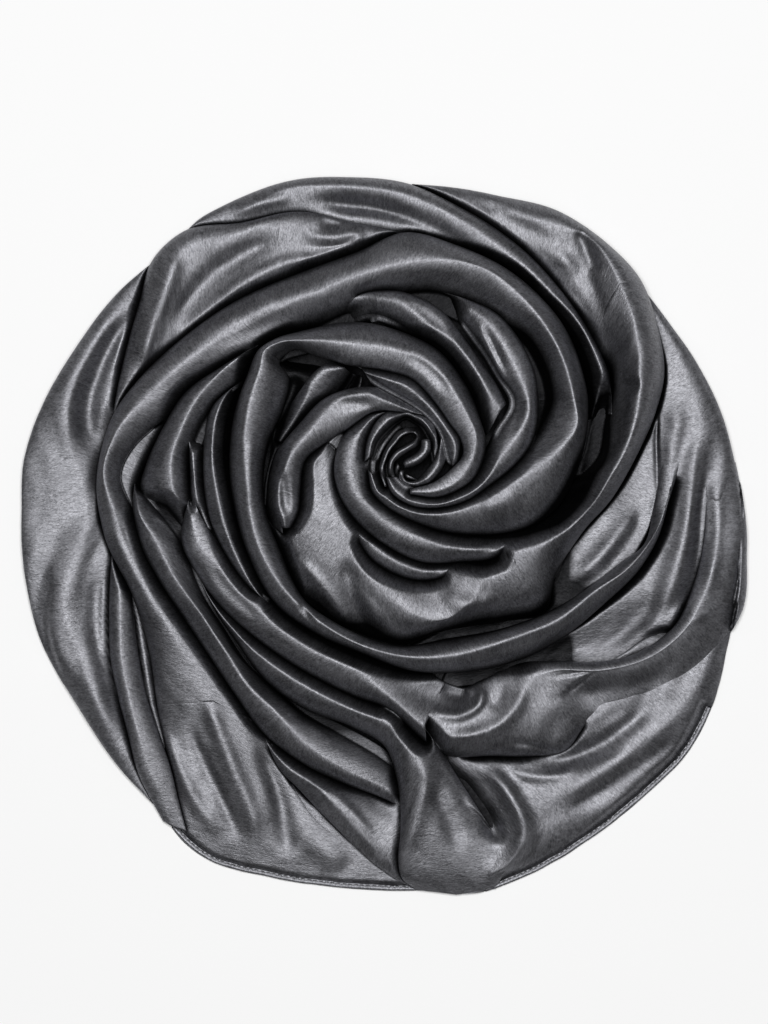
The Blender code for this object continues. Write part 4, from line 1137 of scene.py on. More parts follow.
# ------------------------------------------------------------------- lengths
class Length:
    """A strip of cloth along one fold, from its table."""

    def __init__(self, name):
        self.name = name
        self.roundness, self.outer, self.inner, self.reach, text = LENGTHS[name]
        self.rows = np.array([[float(v) for v in line.split()]
                              for line in text.strip().splitlines()])
        self.rows[:, 0::3] = (self.rows[:, 0::3] - CHART_CENTRE[0]) * UNIT
        self.rows[:, 1::3] = (CHART_CENTRE[1] - self.rows[:, 1::3]) * UNIT
        for side in (2, 8):
            low, crest = self.rows[:, side], self.rows[:, 5]
            self.rows[:, side] = np.where(low > 5.0, np.maximum(crest - (crest - low) * VALLEY, 3.0), low)
        self.bow = BOWS.get(name)
        fine = self.between(np.linspace(0, len(self.rows) - 1, (len(self.rows) - 1) * 8 + 1))
        run = np.linalg.norm(np.diff(fine[:, 3:5], axis=0), axis=1)
        self.run = np.concatenate([[0], np.cumsum(run)])

    def between(self, t):
        """Sections at positions t, counted in rows, on a smooth curve through them."""
        n = len(self.rows)
        points = self.rows.reshape(n, 3, 3)
        step = np.sqrt((np.diff(points[:, :, :2], axis=0) ** 2).sum(2)).mean(1) + 1e-6
        slope = np.diff(self.rows, axis=0) / step[:, None]
        tangent = np.zeros_like(self.rows)
        tangent[0], tangent[-1] = slope[0], slope[-1]
        for i in range(1, n - 1):
            tangent[i] = ((slope[i - 1] * step[i] + slope[i] * step[i - 1])
                          / (step[i] + step[i - 1]))
        k = np.clip(np.floor(t).astype(int), 0, n - 2)
        u, h = (t - k)[:, None], step[k][:, None]
        return ((2 * u ** 3 - 3 * u ** 2 + 1) * self.rows[k]
                + (u ** 3 - 2 * u ** 2 + u) * tangent[k] * h
                + (-2 * u ** 3 + 3 * u ** 2) * self.rows[k + 1]
                + (u ** 3 - u ** 2) * tangent[k + 1] * h)

    def stations(self, first, last):
        points = self.rows.reshape(len(self.rows), 3, 3)[:, :, :2]
        spots = [float(first)]
        for i in range(first, last):
            far = np.linalg.norm(points[i + 1] - points[i], axis=1).max()
            parts = max(3, math.ceil(far * 1.05 / ALONG))
            spots += [i + (j + 1) / parts for j in range(parts)]
        return np.array(spots)

    def angles(self, first, last):
        points = self.rows.reshape(len(self.rows), 3, 3)[first:last + 1, :, :2]
        out = []
        for end in (0, 2):
            wide = np.percentile(np.linalg.norm(points[:, end] - points[:, 1], axis=1), 80)
            out.append(max(6, math.ceil(wide * 1.35 / ACROSS)))
        return np.linspace(90, 0, out[0] + 1), np.linspace(0, 90, out[1] + 1)[1:]

    def surface(self, t, edge_angles, foot_angles):
        """Sections as rows of points, from outer edge over the crest to the foot."""
        s = self.between(t)
        edge, crest, foot = s[:, 0:3], s[:, 3:6], s[:, 6:9]
        columns = []
        for end, style, angles in ((edge, self.outer, edge_angles),
                                   (foot, self.inner, foot_angles)):
            for degrees in angles:
                a = math.radians(degrees)
                if style == "soft":
                    out, up = degrees / 90, 0.5 + 0.5 * math.cos(math.pi * degrees / 90)
                else:
                    out = math.sin(a) ** (2 / self.roundness)
                    up = max(math.cos(a), 0.0) ** (2 / SIDES[style])
                plan = crest[:, :2] + (end[:, :2] - crest[:, :2]) * out
                if self.bow:
                    plan = plan + self.bowed(t, crest, end, out, end is edge)
                height = end[:, 2] + (crest[:, 2] - end[:, 2]) * up
                columns.append(np.column_stack([plan, height]))
        if self.reach:
            away = foot[:, :2] - crest[:, :2]
            away /= np.maximum(np.linalg.norm(away, axis=1), 1e-6)[:, None]
            far = self.reach * UNIT
            for k in np.linspace(0, 1, max(2, math.ceil(far / 1.5)) + 1)[1:]:
                columns.append(np.column_stack([foot[:, :2] + away * far * k,
                                                foot[:, 2] - 0.6 * k]))
        return np.stack(columns, axis=1)

    def bowed(self, t, crest, end, out, outer):
        start, edge_bow, foot_bow = self.bow
        ramp = np.clip((t - start) / (len(self.rows) - 1 - start), 0, 1) ** 2
        across = end[:, :2] - crest[:, :2]
        across /= np.maximum(np.linalg.norm(across, axis=1), 1e-6)[:, None]
        ahead = np.column_stack([-across[:, 1], across[:, 0]]) * (1 if outer else -1)
        size = (edge_bow if outer else foot_bow) * UNIT * 4 * out * (1 - out)
        return ahead * (ramp * size)[:, None]

    def distance(self, t):
        return np.interp(t, np.linspace(0, len(self.rows) - 1, len(self.run)), self.run)


# --------------------------------------------------------------- small wrinkles
def lattice(i, j, seed):
    v = np.sin(i * 127.1 + j * 311.7 + seed * 74.7) * 43758.5453
    return v - np.floor(v)


def noise(x, y, seed):
    """Smooth noise from -1 to 1, one bump to a unit."""
    i, j = np.floor(x), np.floor(y)
    u, v = x - i, y - j
    u, v = u * u * (3 - 2 * u), v * v * (3 - 2 * v)
    a = lattice(i, j, seed) * (1 - u) + lattice(i + 1, j, seed) * u
    b = lattice(i, j + 1, seed) * (1 - u) + lattice(i + 1, j + 1, seed) * u
    return (a * (1 - v) + b * v) * 2 - 1


def rumple(s, v, seed, amount):
    """Wrinkles that run mostly along a fold, and finer puckers across it."""
    warp = noise(s / 34, v / 30, seed + 5) * 6
    broad = noise(s / 26, (v + warp) / 10, seed) * 0.45
    middle = noise((s + 0.5 * v) / 11, (v + warp * 0.5) / 5.5, seed + 1) * 0.22
    cross = noise(s / 3.4, v / 13, seed + 2) * 0.06
    patch = 0.55 + 0.45 * noise(s / 30, v / 22, seed + 3)
    return amount * (broad + middle * patch + cross * patch)


def crease_heights(name, x, y):
    """Height that the creases placed on a stretch add at each plan point."""
    total = np.zeros(x.shape)
    for where, fade, text in CREASES:
        if where != name:
            continue
        rows = np.array([[float(v) for v in line.split()] for line in text.strip().splitlines()])
        px = (rows[:, 0] - CHART_CENTRE[0]) * UNIT
        py = (CHART_CENTRE[1] - rows[:, 1]) * UNIT
        # smooth curve through the rows
        n = len(rows)
        t = np.linspace(0, n - 1, (n - 1) * 6 + 1)
        k = np.clip(np.floor(t).astype(int), 0, n - 2)
        u = t - k
        data = np.column_stack([px, py, rows[:, 2:5]])
        slope = np.gradient(data, axis=0)
        u = u[:, None]
        c = ((2 * u ** 3 - 3 * u ** 2 + 1) * data[k] + (u ** 3 - 2 * u ** 2 + u) * slope[k]
             + (-2 * u ** 3 + 3 * u ** 2) * data[k + 1] + (u ** 3 - u ** 2) * slope[k + 1])
        run = np.concatenate([[0], np.cumsum(np.linalg.norm(np.diff(c[:, :2], axis=0), axis=1))])
        share = run / run[-1]
        reach = rows[:, 3:5].max() * UNIT * 3
        box = ((x > c[:, 0].min() - reach) & (x < c[:, 0].max() + reach)
               & (y > c[:, 1].min() - reach) & (y < c[:, 1].max() + reach))
        if not box.any():
            continue
        bx, by = x[box], y[box]
        best = np.full(bx.shape, 1e9)
        gain, part, half = np.zeros(bx.shape), np.zeros(bx.shape), np.ones(bx.shape)
        for i in range(len(c) - 1):
            dx, dy = c[i + 1, 0] - c[i, 0], c[i + 1, 1] - c[i, 1]
            size = max(dx * dx + dy * dy, 1e-9)
            q = ((bx - c[i, 0]) * dx + (by - c[i, 1]) * dy) / size
            q = np.clip(q, 0, 1)
            ex, ey = bx - c[i, 0] - q * dx, by - c[i, 1] - q * dy
            d = ex * ex + ey * ey
            left = (dx * ey - dy * ex) > 0
            near = d < best
            best = np.where(near, d, best)
            row = c[i][None] * (1 - q)[:, None] + c[i + 1][None] * q[:, None]
            gain = np.where(near, row[:, 2], gain)
            half = np.where(near, np.where(left, row[:, 3], row[:, 4]) * UNIT, half)
            part = np.where(near, share[i] * (1 - q) + share[i + 1] * q, part)
        ends = np.clip(np.minimum(part, 1 - part) / fade, 0, 1)
        ends = ends * ends * (3 - 2 * ends)
        total[box] += gain * ends * np.exp(-best / half ** 2)
    return total


# -------------------------------------------------------------- the height map
STEPS = np.arange(CELLS) * CELL
CLEAR = 500.0                  # height that stands for nothing above


def spread(field, slope):
    """Lowest value of field + slope * distance over the map."""
    side, diagonal = slope * CELL, slope * CELL * math.sqrt(2)
    ramp = STEPS * slope

    def along(row):
        right = np.minimum.accumulate(row - ramp) + ramp
        left = np.minimum.accumulate((row + ramp)[::-1])[::-1] - ramp
        return np.minimum(right, left)

    out = field.copy()
    for order in (range(CELLS), range(CELLS - 1, -1, -1)):
        before = None
        for i in order:
            row = out[i]
            if before is not None:
                row = np.minimum(row, before + side)
                row[1:] = np.minimum(row[1:], before[:-1] + diagonal)
                row[:-1] = np.minimum(row[:-1], before[1:] + diagonal)
            out[i] = before = along(row)
    return out


def softened(field, times=1):
    for _ in range(times):
        for axis in (0, 1):
            field = (np.roll(field, 1, axis) + field * 2 + np.roll(field, -1, axis)) / 4
    return field


def broad(field, half):
    """The map, each cell the mean of its wide surroundings."""
    steps = int(half / CELL)
    for _ in range(2):
        for axis in (0, 1):
            total = np.zeros_like(field)
            for k in range(-steps, steps + 1):
                total += np.roll(field, k, axis)
            field = total / (2 * steps + 1)
    return field


def filled(field, half):
    """The map with its hollows that are narrower than twice half filled in."""
    steps = int(half / CELL)
    for keep in (np.maximum, np.minimum):
        for axis in (0, 1):
            best = field.copy()
            for k in range(-steps, steps + 1):
                keep(best, np.roll(field, k, axis), out=best)
            field = best
    return field


def at(field, x, y):
    """Value of the map at plan points, between its cells."""
    fx = np.clip(x / CELL + CELLS / 2 - 0.5, 0, CELLS - 2)
    fy = np.clip(y / CELL + CELLS / 2 - 0.5, 0, CELLS - 2)
    i, j = np.floor(fx).astype(int), np.floor(fy).astype(int)
    u, v = fx - i, fy - j
    return ((field[i, j] * (1 - u) + field[i + 1, j] * u) * (1 - v)
            + (field[i, j + 1] * (1 - u) + field[i + 1, j + 1] * u) * v)


def drawn(grid, quads, low):
    """Write the lowest height of each cell that the kept quads cover."""
    a, b = grid[:-1, :-1][quads], grid[1:, :-1][quads]
    c, d = grid[1:, 1:][quads], grid[:-1, 1:][quads]
    flat = low.ravel()
    for u in (0.0, 0.25, 0.5, 0.75, 1.0):
        for v in (0.0, 0.25, 0.5, 0.75, 1.0):
            p = (a * (1 - u) + b * u) * (1 - v) + (d * (1 - u) + c * u) * v
            i = np.clip((p[:, 0] / CELL + CELLS / 2).astype(int), 0, CELLS - 1)
            j = np.clip((p[:, 1] / CELL + CELLS / 2).astype(int), 0, CELLS - 1)
            np.minimum.at(flat, i * CELLS + j, p[:, 2])


def laid(grid, top):
    """Write a stretch over the surface that lies below it."""
    high = np.full(top.shape, -1.0)
    a, b, c, d = grid[:-1, :-1], grid[1:, :-1], grid[1:, 1:], grid[:-1, 1:]
    flat = high.ravel()
    for u in (0.0, 0.33, 0.67, 1.0):
        for v in (0.0, 0.33, 0.67, 1.0):
            p = ((a * (1 - u) + b * u) * (1 - v) + (d * (1 - u) + c * u) * v).reshape(-1, 3)
            i = np.clip((p[:, 0] / CELL + CELLS / 2).astype(int), 0, CELLS - 1)
            j = np.clip((p[:, 1] / CELL + CELLS / 2).astype(int), 0, CELLS - 1)
            np.maximum.at(flat, i * CELLS + j, p[:, 2])
    return np.where(high > 0, high, top)


def soft_min(a, b, k):
    h = np.clip(0.5 + 0.5 * (b - a) / k, 0, 1)
    return b * (1 - h) + a * h - k * h * (1 - h)


# ------------------------------------------------------------------ stretches
# stretch, which end, length over which it comes down to what it runs out on, mm
LANDINGS = [
    ("s_fold", "end", 34), ("top_roll", "end", 22), ("top_roll", "start", 12),
    ("ring_roll", "end", 16), ("ring_band", "start", 9), ("ring_band", "end", 14),
    ("upper_inner_fold", "start", 20), ("upper_inner_sheet", "start", 14),
    ("upper_inner_fold", "end", 9), ("left_inner_roll", "start", 10),
    ("lower_right_roll", "end", 46), ("left_sheet", "start", 8), ("left_sheet", "end", 10),
    ("left_strip", "start", 6), ("left_strip", "end", 6), ("petal", "start", 14),
    ("lower_roll", "start", 7), ("left_lower_roll", "start", 4), ("left_lower_roll", "end", 8),
    ("upper_left_panel", "end", 14), ("petal_side", "start", 8),
]

# stretch, side, rows between which it runs out into what lies under it, share of
# its width over which it does
RUN_OUTS = [("petal", "inner", 8.4, 12, 0.5), ("s_fold", "outer", 13.2, 19.5, 0.6),
            ("s_fold", "outer", 8.9, 10.9, 0.45),
            ("lower_roll", "outer", 7.2, 9, 0.35), ("lower_roll", "inner", 7.4, 9, 0.25)]

RUMPLE = {"left_panel": 1.5, "right_panel": 1.5, "lower_right_panel": 1.7, "upper_left_panel": 1.3,
          "upper_right_panel": 1.2, "lower_left_skirt": 1.5, "cradle_fold": 1.1, "s_fold": 1.0,
          "petal": 0.8, "petal_side": 0.9, "left_inner_roll": 0.9, "top_roll": 0.8,
          "main_roll": 0.75, "inner_sweep": 0.9, "tucked_edge": 0.5}


def turned_under(grid, outer):
    """Extra sections that roll the cloth's edge under."""
    edge, inside = (grid[:, 0], grid[:, 1]) if outer else (grid[:, -1], grid[:, -2])
    inward = inside[:, :2] - edge[:, :2]
    for k in range(2, 6):
        weak = np.linalg.norm(inward, axis=1) < 0.2
        other = grid[:, k] if outer else grid[:, -1 - k]
        inward[weak] = (other[:, :2] - edge[:, :2])[weak]
    inward /= np.maximum(np.linalg.norm(inward, axis=1), 1e-6)[:, None]
    columns = [np.column_stack([edge[:, :2] + inward * into, edge[:, 2] - down])
               for into, down in ROLL_UNDER]
    if outer:
        return np.concatenate([np.stack(columns[::-1], axis=1), grid], axis=1)
    return np.concatenate([grid, np.stack(columns, axis=1)], axis=1)


def kept_quads(grid, hidden):
    n, m = grid.shape[:2]
    seen = hidden < KEPT
    quads = seen[:-1, :-1] | seen[1:, :-1] | seen[1:, 1:] | seen[:-1, 1:]
    # leave out scraps that hang together with nothing
    label = np.zeros(quads.shape, int)
    sizes = {}
    count = 0
    todo = np.argwhere(quads)
    for i, j in todo:
        if label[i, j]:
            continue
        count += 1
        stack, size = [(i, j)], 0
        label[i, j] = count
        while stack:
            p, q = stack.pop()
            size += 1
            for a, b in ((p + 1, q), (p - 1, q), (p, q + 1), (p, q - 1)):
                if 0 <= a < n - 1 and 0 <= b < m - 1 and quads[a, b] and not label[a, b]:
                    label[a, b] = count
                    stack.append((a, b))
        sizes[count] = size
    big = max(sizes.values()) if sizes else 0
    for k, size in sizes.items():
        if size < min(40, big):
            quads[label == k] = False
    return quads


class Piece:
    def __init__(self, name, grid, uv, quads):
        self.name, self.grid, self.uv, self.quads = name, grid, uv, quads


def finish_stretch(name, grid, uv, limit, covered, sides=(True, True)):
    """Hold a stretch below what lies over it, roll its edges under and trim it."""
    ceiling = at(limit, grid[..., 0], grid[..., 1])
    grid[..., 2] = soft_min(grid[..., 2], ceiling, 1.2)
    grid[..., 2] = np.maximum(grid[..., 2], 0.6)
    for outer in (True, False):
        if sides[0 if outer else 1]:
            grid = turned_under(grid, outer)
            pad = [(0, 0), (len(ROLL_UNDER), 0) if outer else (0, len(ROLL_UNDER)), (0, 0)]
            step = np.array([k * 0.8 for k in range(1, len(ROLL_UNDER) + 1)])
            uv = np.pad(uv, pad, mode="edge")
            if outer:
                uv[:, :len(ROLL_UNDER), 1] -= step[::-1][None]
            else:
                uv[:, -len(ROLL_UNDER):, 1] += step[None]
    grid[..., 2] = np.maximum(grid[..., 2], 0.35)
    hidden = at(covered, grid[..., 0], grid[..., 1])
    return Piece(name, grid, uv, kept_quads(grid, hidden))


def stretch(name, strip, first, last):
    t = strip.stations(first, last)
    joins = [any(length == strip.name and end == at_row for _, length, a, b in STACK
                 for end in ((b,) if k == 0 else (a,))) for k, at_row in enumerate((first, last))]
    if joins[0]:
        t = np.concatenate([[first - (t[1] - t[0])], t])
    if joins[1]:
        t = np.concatenate([t, [last + (t[-1] - t[-2])]])
    edge_angles, foot_angles = strip.angles(first, last)
    grid = strip.surface(t, edge_angles, foot_angles)
    along = np.repeat(strip.distance(t)[:, None], grid.shape[1], axis=1)
    step = np.linalg.norm(np.diff(grid, axis=1), axis=2)
    across = np.concatenate([np.zeros((len(t), 1)), np.cumsum(step, axis=1)], axis=1)
    across -= across[:, [len(edge_angles) - 1]]
    seed = sum(ord(c) for c in strip.name) % 97
    # normals of the smooth form, to move the cloth along
    du, dv = np.gradient(grid, axis=0), np.gradient(grid, axis=1)
    normal = np.cross(du, dv)
    normal /= np.maximum(np.linalg.norm(normal, axis=2), 1e-9)[..., None]
    normal *= np.where(normal[..., 2:] < 0, -1, 1)
    amount = RUMPLE.get(name, 0.6)
    share = np.full(len(t), amount)
    for other, length, a, b in STACK:
        if length != strip.name or other == name:
            continue
        joint = RUMPLE.get(other, 0.6) / 2 + amount / 2
        if a == last:
            share += (joint - amount) * np.clip(t - last + 1, 0, 1)
        if b == first:
            share += (joint - amount) * np.clip(first + 1 - t, 0, 1)
    wave = rumple(along, across, seed, share[:, None])
    wave *= np.clip(normal[..., 2] * 1.6, 0.15, 1)
    grid = grid + normal * wave[..., None]
    grid[..., 2] += crease_heights(name, grid[..., 0], grid[..., 1])
    uv = np.stack([along, across], axis=-1)
    # the section beyond a joint becomes a flap that lies under the next stretch
    for k, row in ((0, 0), (1, -1)):
        if joins[k]:
            grid[row, :, 2] -= FLAP
    return grid, uv, t


def hem(name, panel, line):
    """A twice-turned hem made from its panel's own points, puckered by its stitches."""
    run = np.concatenate([[0], np.cumsum(np.linalg.norm(np.diff(line[:, :2], axis=0), axis=1))])
    n = int(run[-1] / 0.55)
    s = np.linspace(0, run[-1], n)
    x, y, z = (np.interp(s, run, line[:, k]) for k in range(3))
    for a in (x, y, z):
        a[:] = np.convolve(np.pad(a, 9, mode="reflect", reflect_type="odd"), np.ones(19) / 19, "valid")
    d = np.gradient(np.column_stack([x, y]), axis=0)
    d /= np.linalg.norm(d, axis=1)[:, None]
    inward = np.column_stack([-d[:, 1], d[:, 0]])
    profile = ((0.55, -0.75), (0.12, -0.45), (0.0, 0.0), (0.12, 0.36), (0.4, 0.62), (0.8, 0.74),
               (1.2, 0.74), (1.6, 0.64), (1.95, 0.5), (2.2, 0.48), (2.45, 0.5), (2.7, 0.36),
               (2.85, 0.1), (2.9, -0.3))
    pucker = noise(s / 5.3, s * 0, 11) * 0.3 + noise(s / 13, s * 0, 12) * 0.35
    dimple = 0.5 + 0.5 * np.cos(2 * math.pi * s / STITCH)
    columns, uv = [], []
    for into, up in profile:
        wave = 0.28 * noise(s / 4.6, s * 0, 31) * min(into, 1.0)
        plan = np.column_stack([x, y]) + inward * (into + wave * 0.4 - 0.15 * noise(s / 9, s * 0, 8))[:, None]
        near = math.exp(-((into - 2.2) / 0.5) ** 2)
        height = z + up * (1 + 0.25 * pucker) + pucker * 0.35 * (into > 0) - 0.22 * near * dimple
        columns.append(np.column_stack([plan, np.maximum(height, 0.25)]))
        uv.append(np.column_stack([s, np.full(n, into)]))
    grid = np.stack(columns, axis=1)
    seam = np.column_stack([np.column_stack([x, y]) + inward * 2.2, z])
    return grid, np.stack(uv, axis=1), s, seam


# ------------------------------------------------------------------ materials
def satin(name, tone, rough, streak, grain, metal=1.0, contrast=1.15):
    """Dark satin: a soft broad gloss, broken by fine floats that run across the folds, with painted shade darkening
    its colour in the gaps between the folds.
    """
    m = bpy.data.materials.new(name)
    m.use_nodes = True
    tree = m.node_tree
    nodes, links = tree.nodes, tree.links
    shader = nodes["Principled BSDF"]
    shader.inputs["Metallic"].default_value = metal

    uv = nodes.new("ShaderNodeUVMap")
    uv.uv_map = "cloth"

    def mapped(sx, sy, angle=0.0):
        node = nodes.new("ShaderNodeMapping")
        node.inputs["Scale"].default_value = (sx, sy, 1.0)
        node.inputs["Rotation"].default_value = (0, 0, math.radians(angle))
        links.new(uv.outputs["UV"], node.inputs["Vector"])
        return node

    def noise_at(vector, detail, rough_, distort=0.0):
        node = nodes.new("ShaderNodeTexNoise")
        node.inputs["Scale"].default_value = 1.0
        node.inputs["Detail"].default_value = detail
        node.inputs["Roughness"].default_value = rough_
        node.inputs["Distortion"].default_value = distort
        links.new(vector.outputs["Vector"], node.inputs["Vector"])
        return node.outputs["Fac"]

    def ranged(value, low, high, to_low, to_high):
        node = nodes.new("ShaderNodeMapRange")
        node.inputs["From Min"].default_value = low
        node.inputs["From Max"].default_value = high
        node.inputs["To Min"].default_value = to_low
        node.inputs["To Max"].default_value = to_high
        links.new(value, node.inputs["Value"])
        return node.outputs["Result"]

    def calc(kind, first, second):
        node = nodes.new("ShaderNodeMath")
        node.operation = kind
        for socket, value in zip(node.inputs, (first, second)):
            if isinstance(value, (int, float)):
                socket.default_value = value
            else:
                links.new(value, socket)
        return node.outputs["Value"]

    # UV is in centimetres: U along the fold, V across it
    floats = noise_at(mapped(17.0, 6.5, 14), 4.0, 0.7, 0.5)
    brush = noise_at(mapped(6.5, 2.0, -24), 3.0, 0.62, 0.9)
    speck = noise_at(mapped(34.0, 24.0), 2.0, 0.7)
    cloud = noise_at(mapped(0.55, 0.8), 3.0, 0.6, 0.6)

    # colour: dark grey with a slightly cool cast, lighter where the floats lie up
    lift = calc("ADD", calc("MULTIPLY", floats, 0.55), calc("MULTIPLY", brush, 0.30))
    lift = calc("ADD", lift, calc("MULTIPLY", cloud, 0.15))
    ramp = nodes.new("ShaderNodeValToRGB")
    low, high = 0.135 * tone * (1 - 0.45 * contrast), 0.135 * tone * (1 + 0.5 * contrast)
    ramp.color_ramp.elements[0].position = 0.38
    ramp.color_ramp.elements[0].color = (low * 0.98, low * 0.985, low * 1.06, 1)
    ramp.color_ramp.elements[1].position = 0.63
    ramp.color_ramp.elements[1].color = (high * 0.98, high * 0.985, high * 1.06, 1)
    links.new(lift, ramp.inputs["Fac"])

    # painted shade: the base colour is darkened by ambient occlusion and by how deep the cloth lies below the folds
    # round about, so the gaps between the folds are painted dark
    near = nodes.new("ShaderNodeAmbientOcclusion")
    near.samples = 8
    near.inputs["Distance"].default_value = 0.018
    shade = nodes.new("ShaderNodeVectorMath")
    shade.operation = "SCALE"
    links.new(ramp.outputs["Color"], shade.inputs[0])
    painted_occlusion_shade = ranged(calc("POWER", near.outputs["AO"], 1.9), 0.03, 0.52, 0.02, 1.0)
    sunk = nodes.new("ShaderNodeAttribute")
    sunk.attribute_name = "sunk"
    # painted shade: the deeper the cloth lies below the folds round about, the darker its colour
    painted_hollow_shade = ranged(sunk.outputs["Fac"], 2.5, 7.5, 1.0, 0.06)
    links.new(calc("MINIMUM", painted_occlusion_shade, painted_hollow_shade), shade.inputs["Scale"])
    links.new(shade.outputs["Vector"], shader.inputs["Base Color"])
    links.new(ranged(cloud, 0.3, 0.7, rough - 0.05, rough + 0.06), shader.inputs["Roughness"])

    def bump(height, distance, before=None):
        node = nodes.new("ShaderNodeBump")
        node.inputs["Strength"].default_value = 1.0
        node.inputs["Distance"].default_value = distance
        links.new(height, node.inputs["Height"])
        if before:
            links.new(before.outputs["Normal"], node.inputs["Normal"])
        return node

    b = bump(floats, streak * 0.00009)
    b = bump(brush, streak * 0.00016, b)
    b = bump(speck, grain * 0.00003, b)
    links.new(b.outputs["Normal"], shader.inputs["Normal"])
    return m


def thread_material():
    m = bpy.data.materials.new("sewing_thread")
    m.use_nodes = True
    nodes, links = m.node_tree.nodes, m.node_tree.links
    shader = nodes["Principled BSDF"]
    shader.inputs["Roughness"].default_value = 0.5
    wave = nodes.new("ShaderNodeTexNoise")
    wave.inputs["Scale"].default_value = 3000.0
    ramp = nodes.new("ShaderNodeValToRGB")
    ramp.color_ramp.elements[0].color = (0.010, 0.010, 0.011, 1)
    ramp.color_ramp.elements[1].color = (0.030, 0.030, 0.033, 1)
    links.new(wave.outputs["Fac"], ramp.inputs["Fac"])
    links.new(ramp.outputs["Color"], shader.inputs["Base Color"])
    return m


# ---------------------------------------------------------------------- build
def mesh_of(name, points, faces, uv, material, sunk=None):
    mesh = bpy.data.meshes.new(name)
    mesh.from_pydata((points * 0.001).tolist(), [], faces.tolist())
    # depth below the folds round about, kept for the satin's painted shade
    if sunk is not None:
        mesh.attributes.new("sunk", "FLOAT", "POINT").data.foreach_set("value", sunk.astype(np.float32))
    mesh.polygons.foreach_set("use_smooth", [True] * len(mesh.polygons))
    layer = mesh.uv_layers.new(name="cloth")
    loops = np.empty(len(mesh.loops), np.int32)
    mesh.loops.foreach_get("vertex_index", loops)
    layer.data.foreach_set("uv", (uv[loops] * 0.1).astype(np.float32).ravel())
    mesh.materials.append(material)
    obj = bpy.data.objects.new(name, mesh)
    bpy.context.scene.collection.objects.link(obj)
    return obj


def piece_object(piece, material, around):
    n, m = piece.grid.shape[:2]
    index = np.arange(n * m).reshape(n, m)
    a, b = index[:-1, :-1][piece.quads], index[1:, :-1][piece.quads]
    c, d = index[1:, 1:][piece.quads], index[:-1, 1:][piece.quads]
    faces = np.stack([a, b, c, d], axis=1)
    points = piece.grid.reshape(-1, 3)
    p, q, r = points[faces[:, 0]], points[faces[:, 1]], points[faces[:, 2]]
    up = np.cross(q - p, r - p)[:, 2].sum()
    if up < 0:
        faces = faces[:, ::-1]
    used, faces = np.unique(faces, return_inverse=True)
    faces = faces.reshape(-1, 4)
    points = points[used]
    # how far the cloth lies below the folds round about, mm, which the satin paints as shade
    sunk = at(around, points[:, 0], points[:, 1]) - points[:, 2]
    return mesh_of(piece.name, points, faces, piece.uv.reshape(-1, 2)[used], material, sunk), points, faces


def hidden_core(low, rim_of):
    """The folded layers below: a heap that shows in the deep hollows and at the rim, coloured far darker than the
    satin above as painted shade.
    """
    radius = 4.2
    steps = int(radius / CELL)
    floor = np.where(low < CLEAR, low, 60.0)
    for _ in range(2):
        for axis in (0, 1):
            best = floor.copy()
            for k in range(-steps, steps + 1):
                best = np.minimum(best, np.roll(floor, k, axis))
            floor = best
    wide = floor.copy()
    for axis in (0, 1):
        total = np.zeros_like(wide)
        for k in range(-steps, steps + 1):
            total += np.roll(wide, k, axis)
        wide = total / (2 * steps + 1)
    n, rings = 420, 62
    angle = np.arange(n) * 2 * math.pi / n
    rim = rim_of(angle)
    columns, uv = [], []
    shares = np.linspace(0.012, 1.0, rings)
    for k in shares:
        r = (rim - 2.2) * k
        x, y = np.cos(angle) * r, np.sin(angle) * r
        z = np.clip(at(wide, x, y) - 0.5 - 4.0 * np.clip(3 - 3 * k, 0, 1), 1.4, 40)
        z = z + 0.35 * noise(x / 7, y / 7, 3) * np.clip((z - 2.5) / 3, 0, 1)
        columns.append(np.column_stack([x, y, np.maximum(z, 1.4)]))
        uv.append(np.column_stack([angle * 60, r]))
    # folded layers stacked at the rim
    top = columns[-1][:, 2]
    layers = 3
    for layer in range(layers):
        hi, lo = top * (1 - layer / layers), top * (1 - (layer + 1) / layers)
        sway = 0.9 * noise(angle * 9 / math.pi, angle * 0 + layer * 3.1, 21) - 0.5 * layer * 0.2
        for share, out in ((0.0, -0.9), (0.12, -0.2), (0.35, 0.25), (0.62, 0.25), (0.88, -0.2), (1.0, -0.9)):
            r = rim - 0.9 + out + sway * (0.5 if out > -0.9 else 0.3)
            columns.append(np.column_stack([np.cos(angle) * r, np.sin(angle) * r, hi + (lo - hi) * share]))
            uv.append(np.column_stack([angle * 60, rim + layer * 3 + share * 2]))
    for k in (0.8, 0.4, 0.02):
        columns.append(np.column_stack([np.cos(angle) * rim * k, np.sin(angle) * rim * k, angle * 0]))
        uv.append(np.column_stack([angle * 60, rim * k]))
    grid, uvs = np.stack(columns, axis=1), np.stack(uv, axis=1)
    m = grid.shape[1]
    index = np.arange(n * m).reshape(n, m)
    nxt = np.roll(index, -1, axis=0)
    faces = np.stack([index[:, :-1], index[:, 1:], nxt[:, 1:], nxt[:, :-1]], axis=-1).reshape(-1, 4)
    return grid.reshape(-1, 3), faces, uvs.reshape(-1, 2)


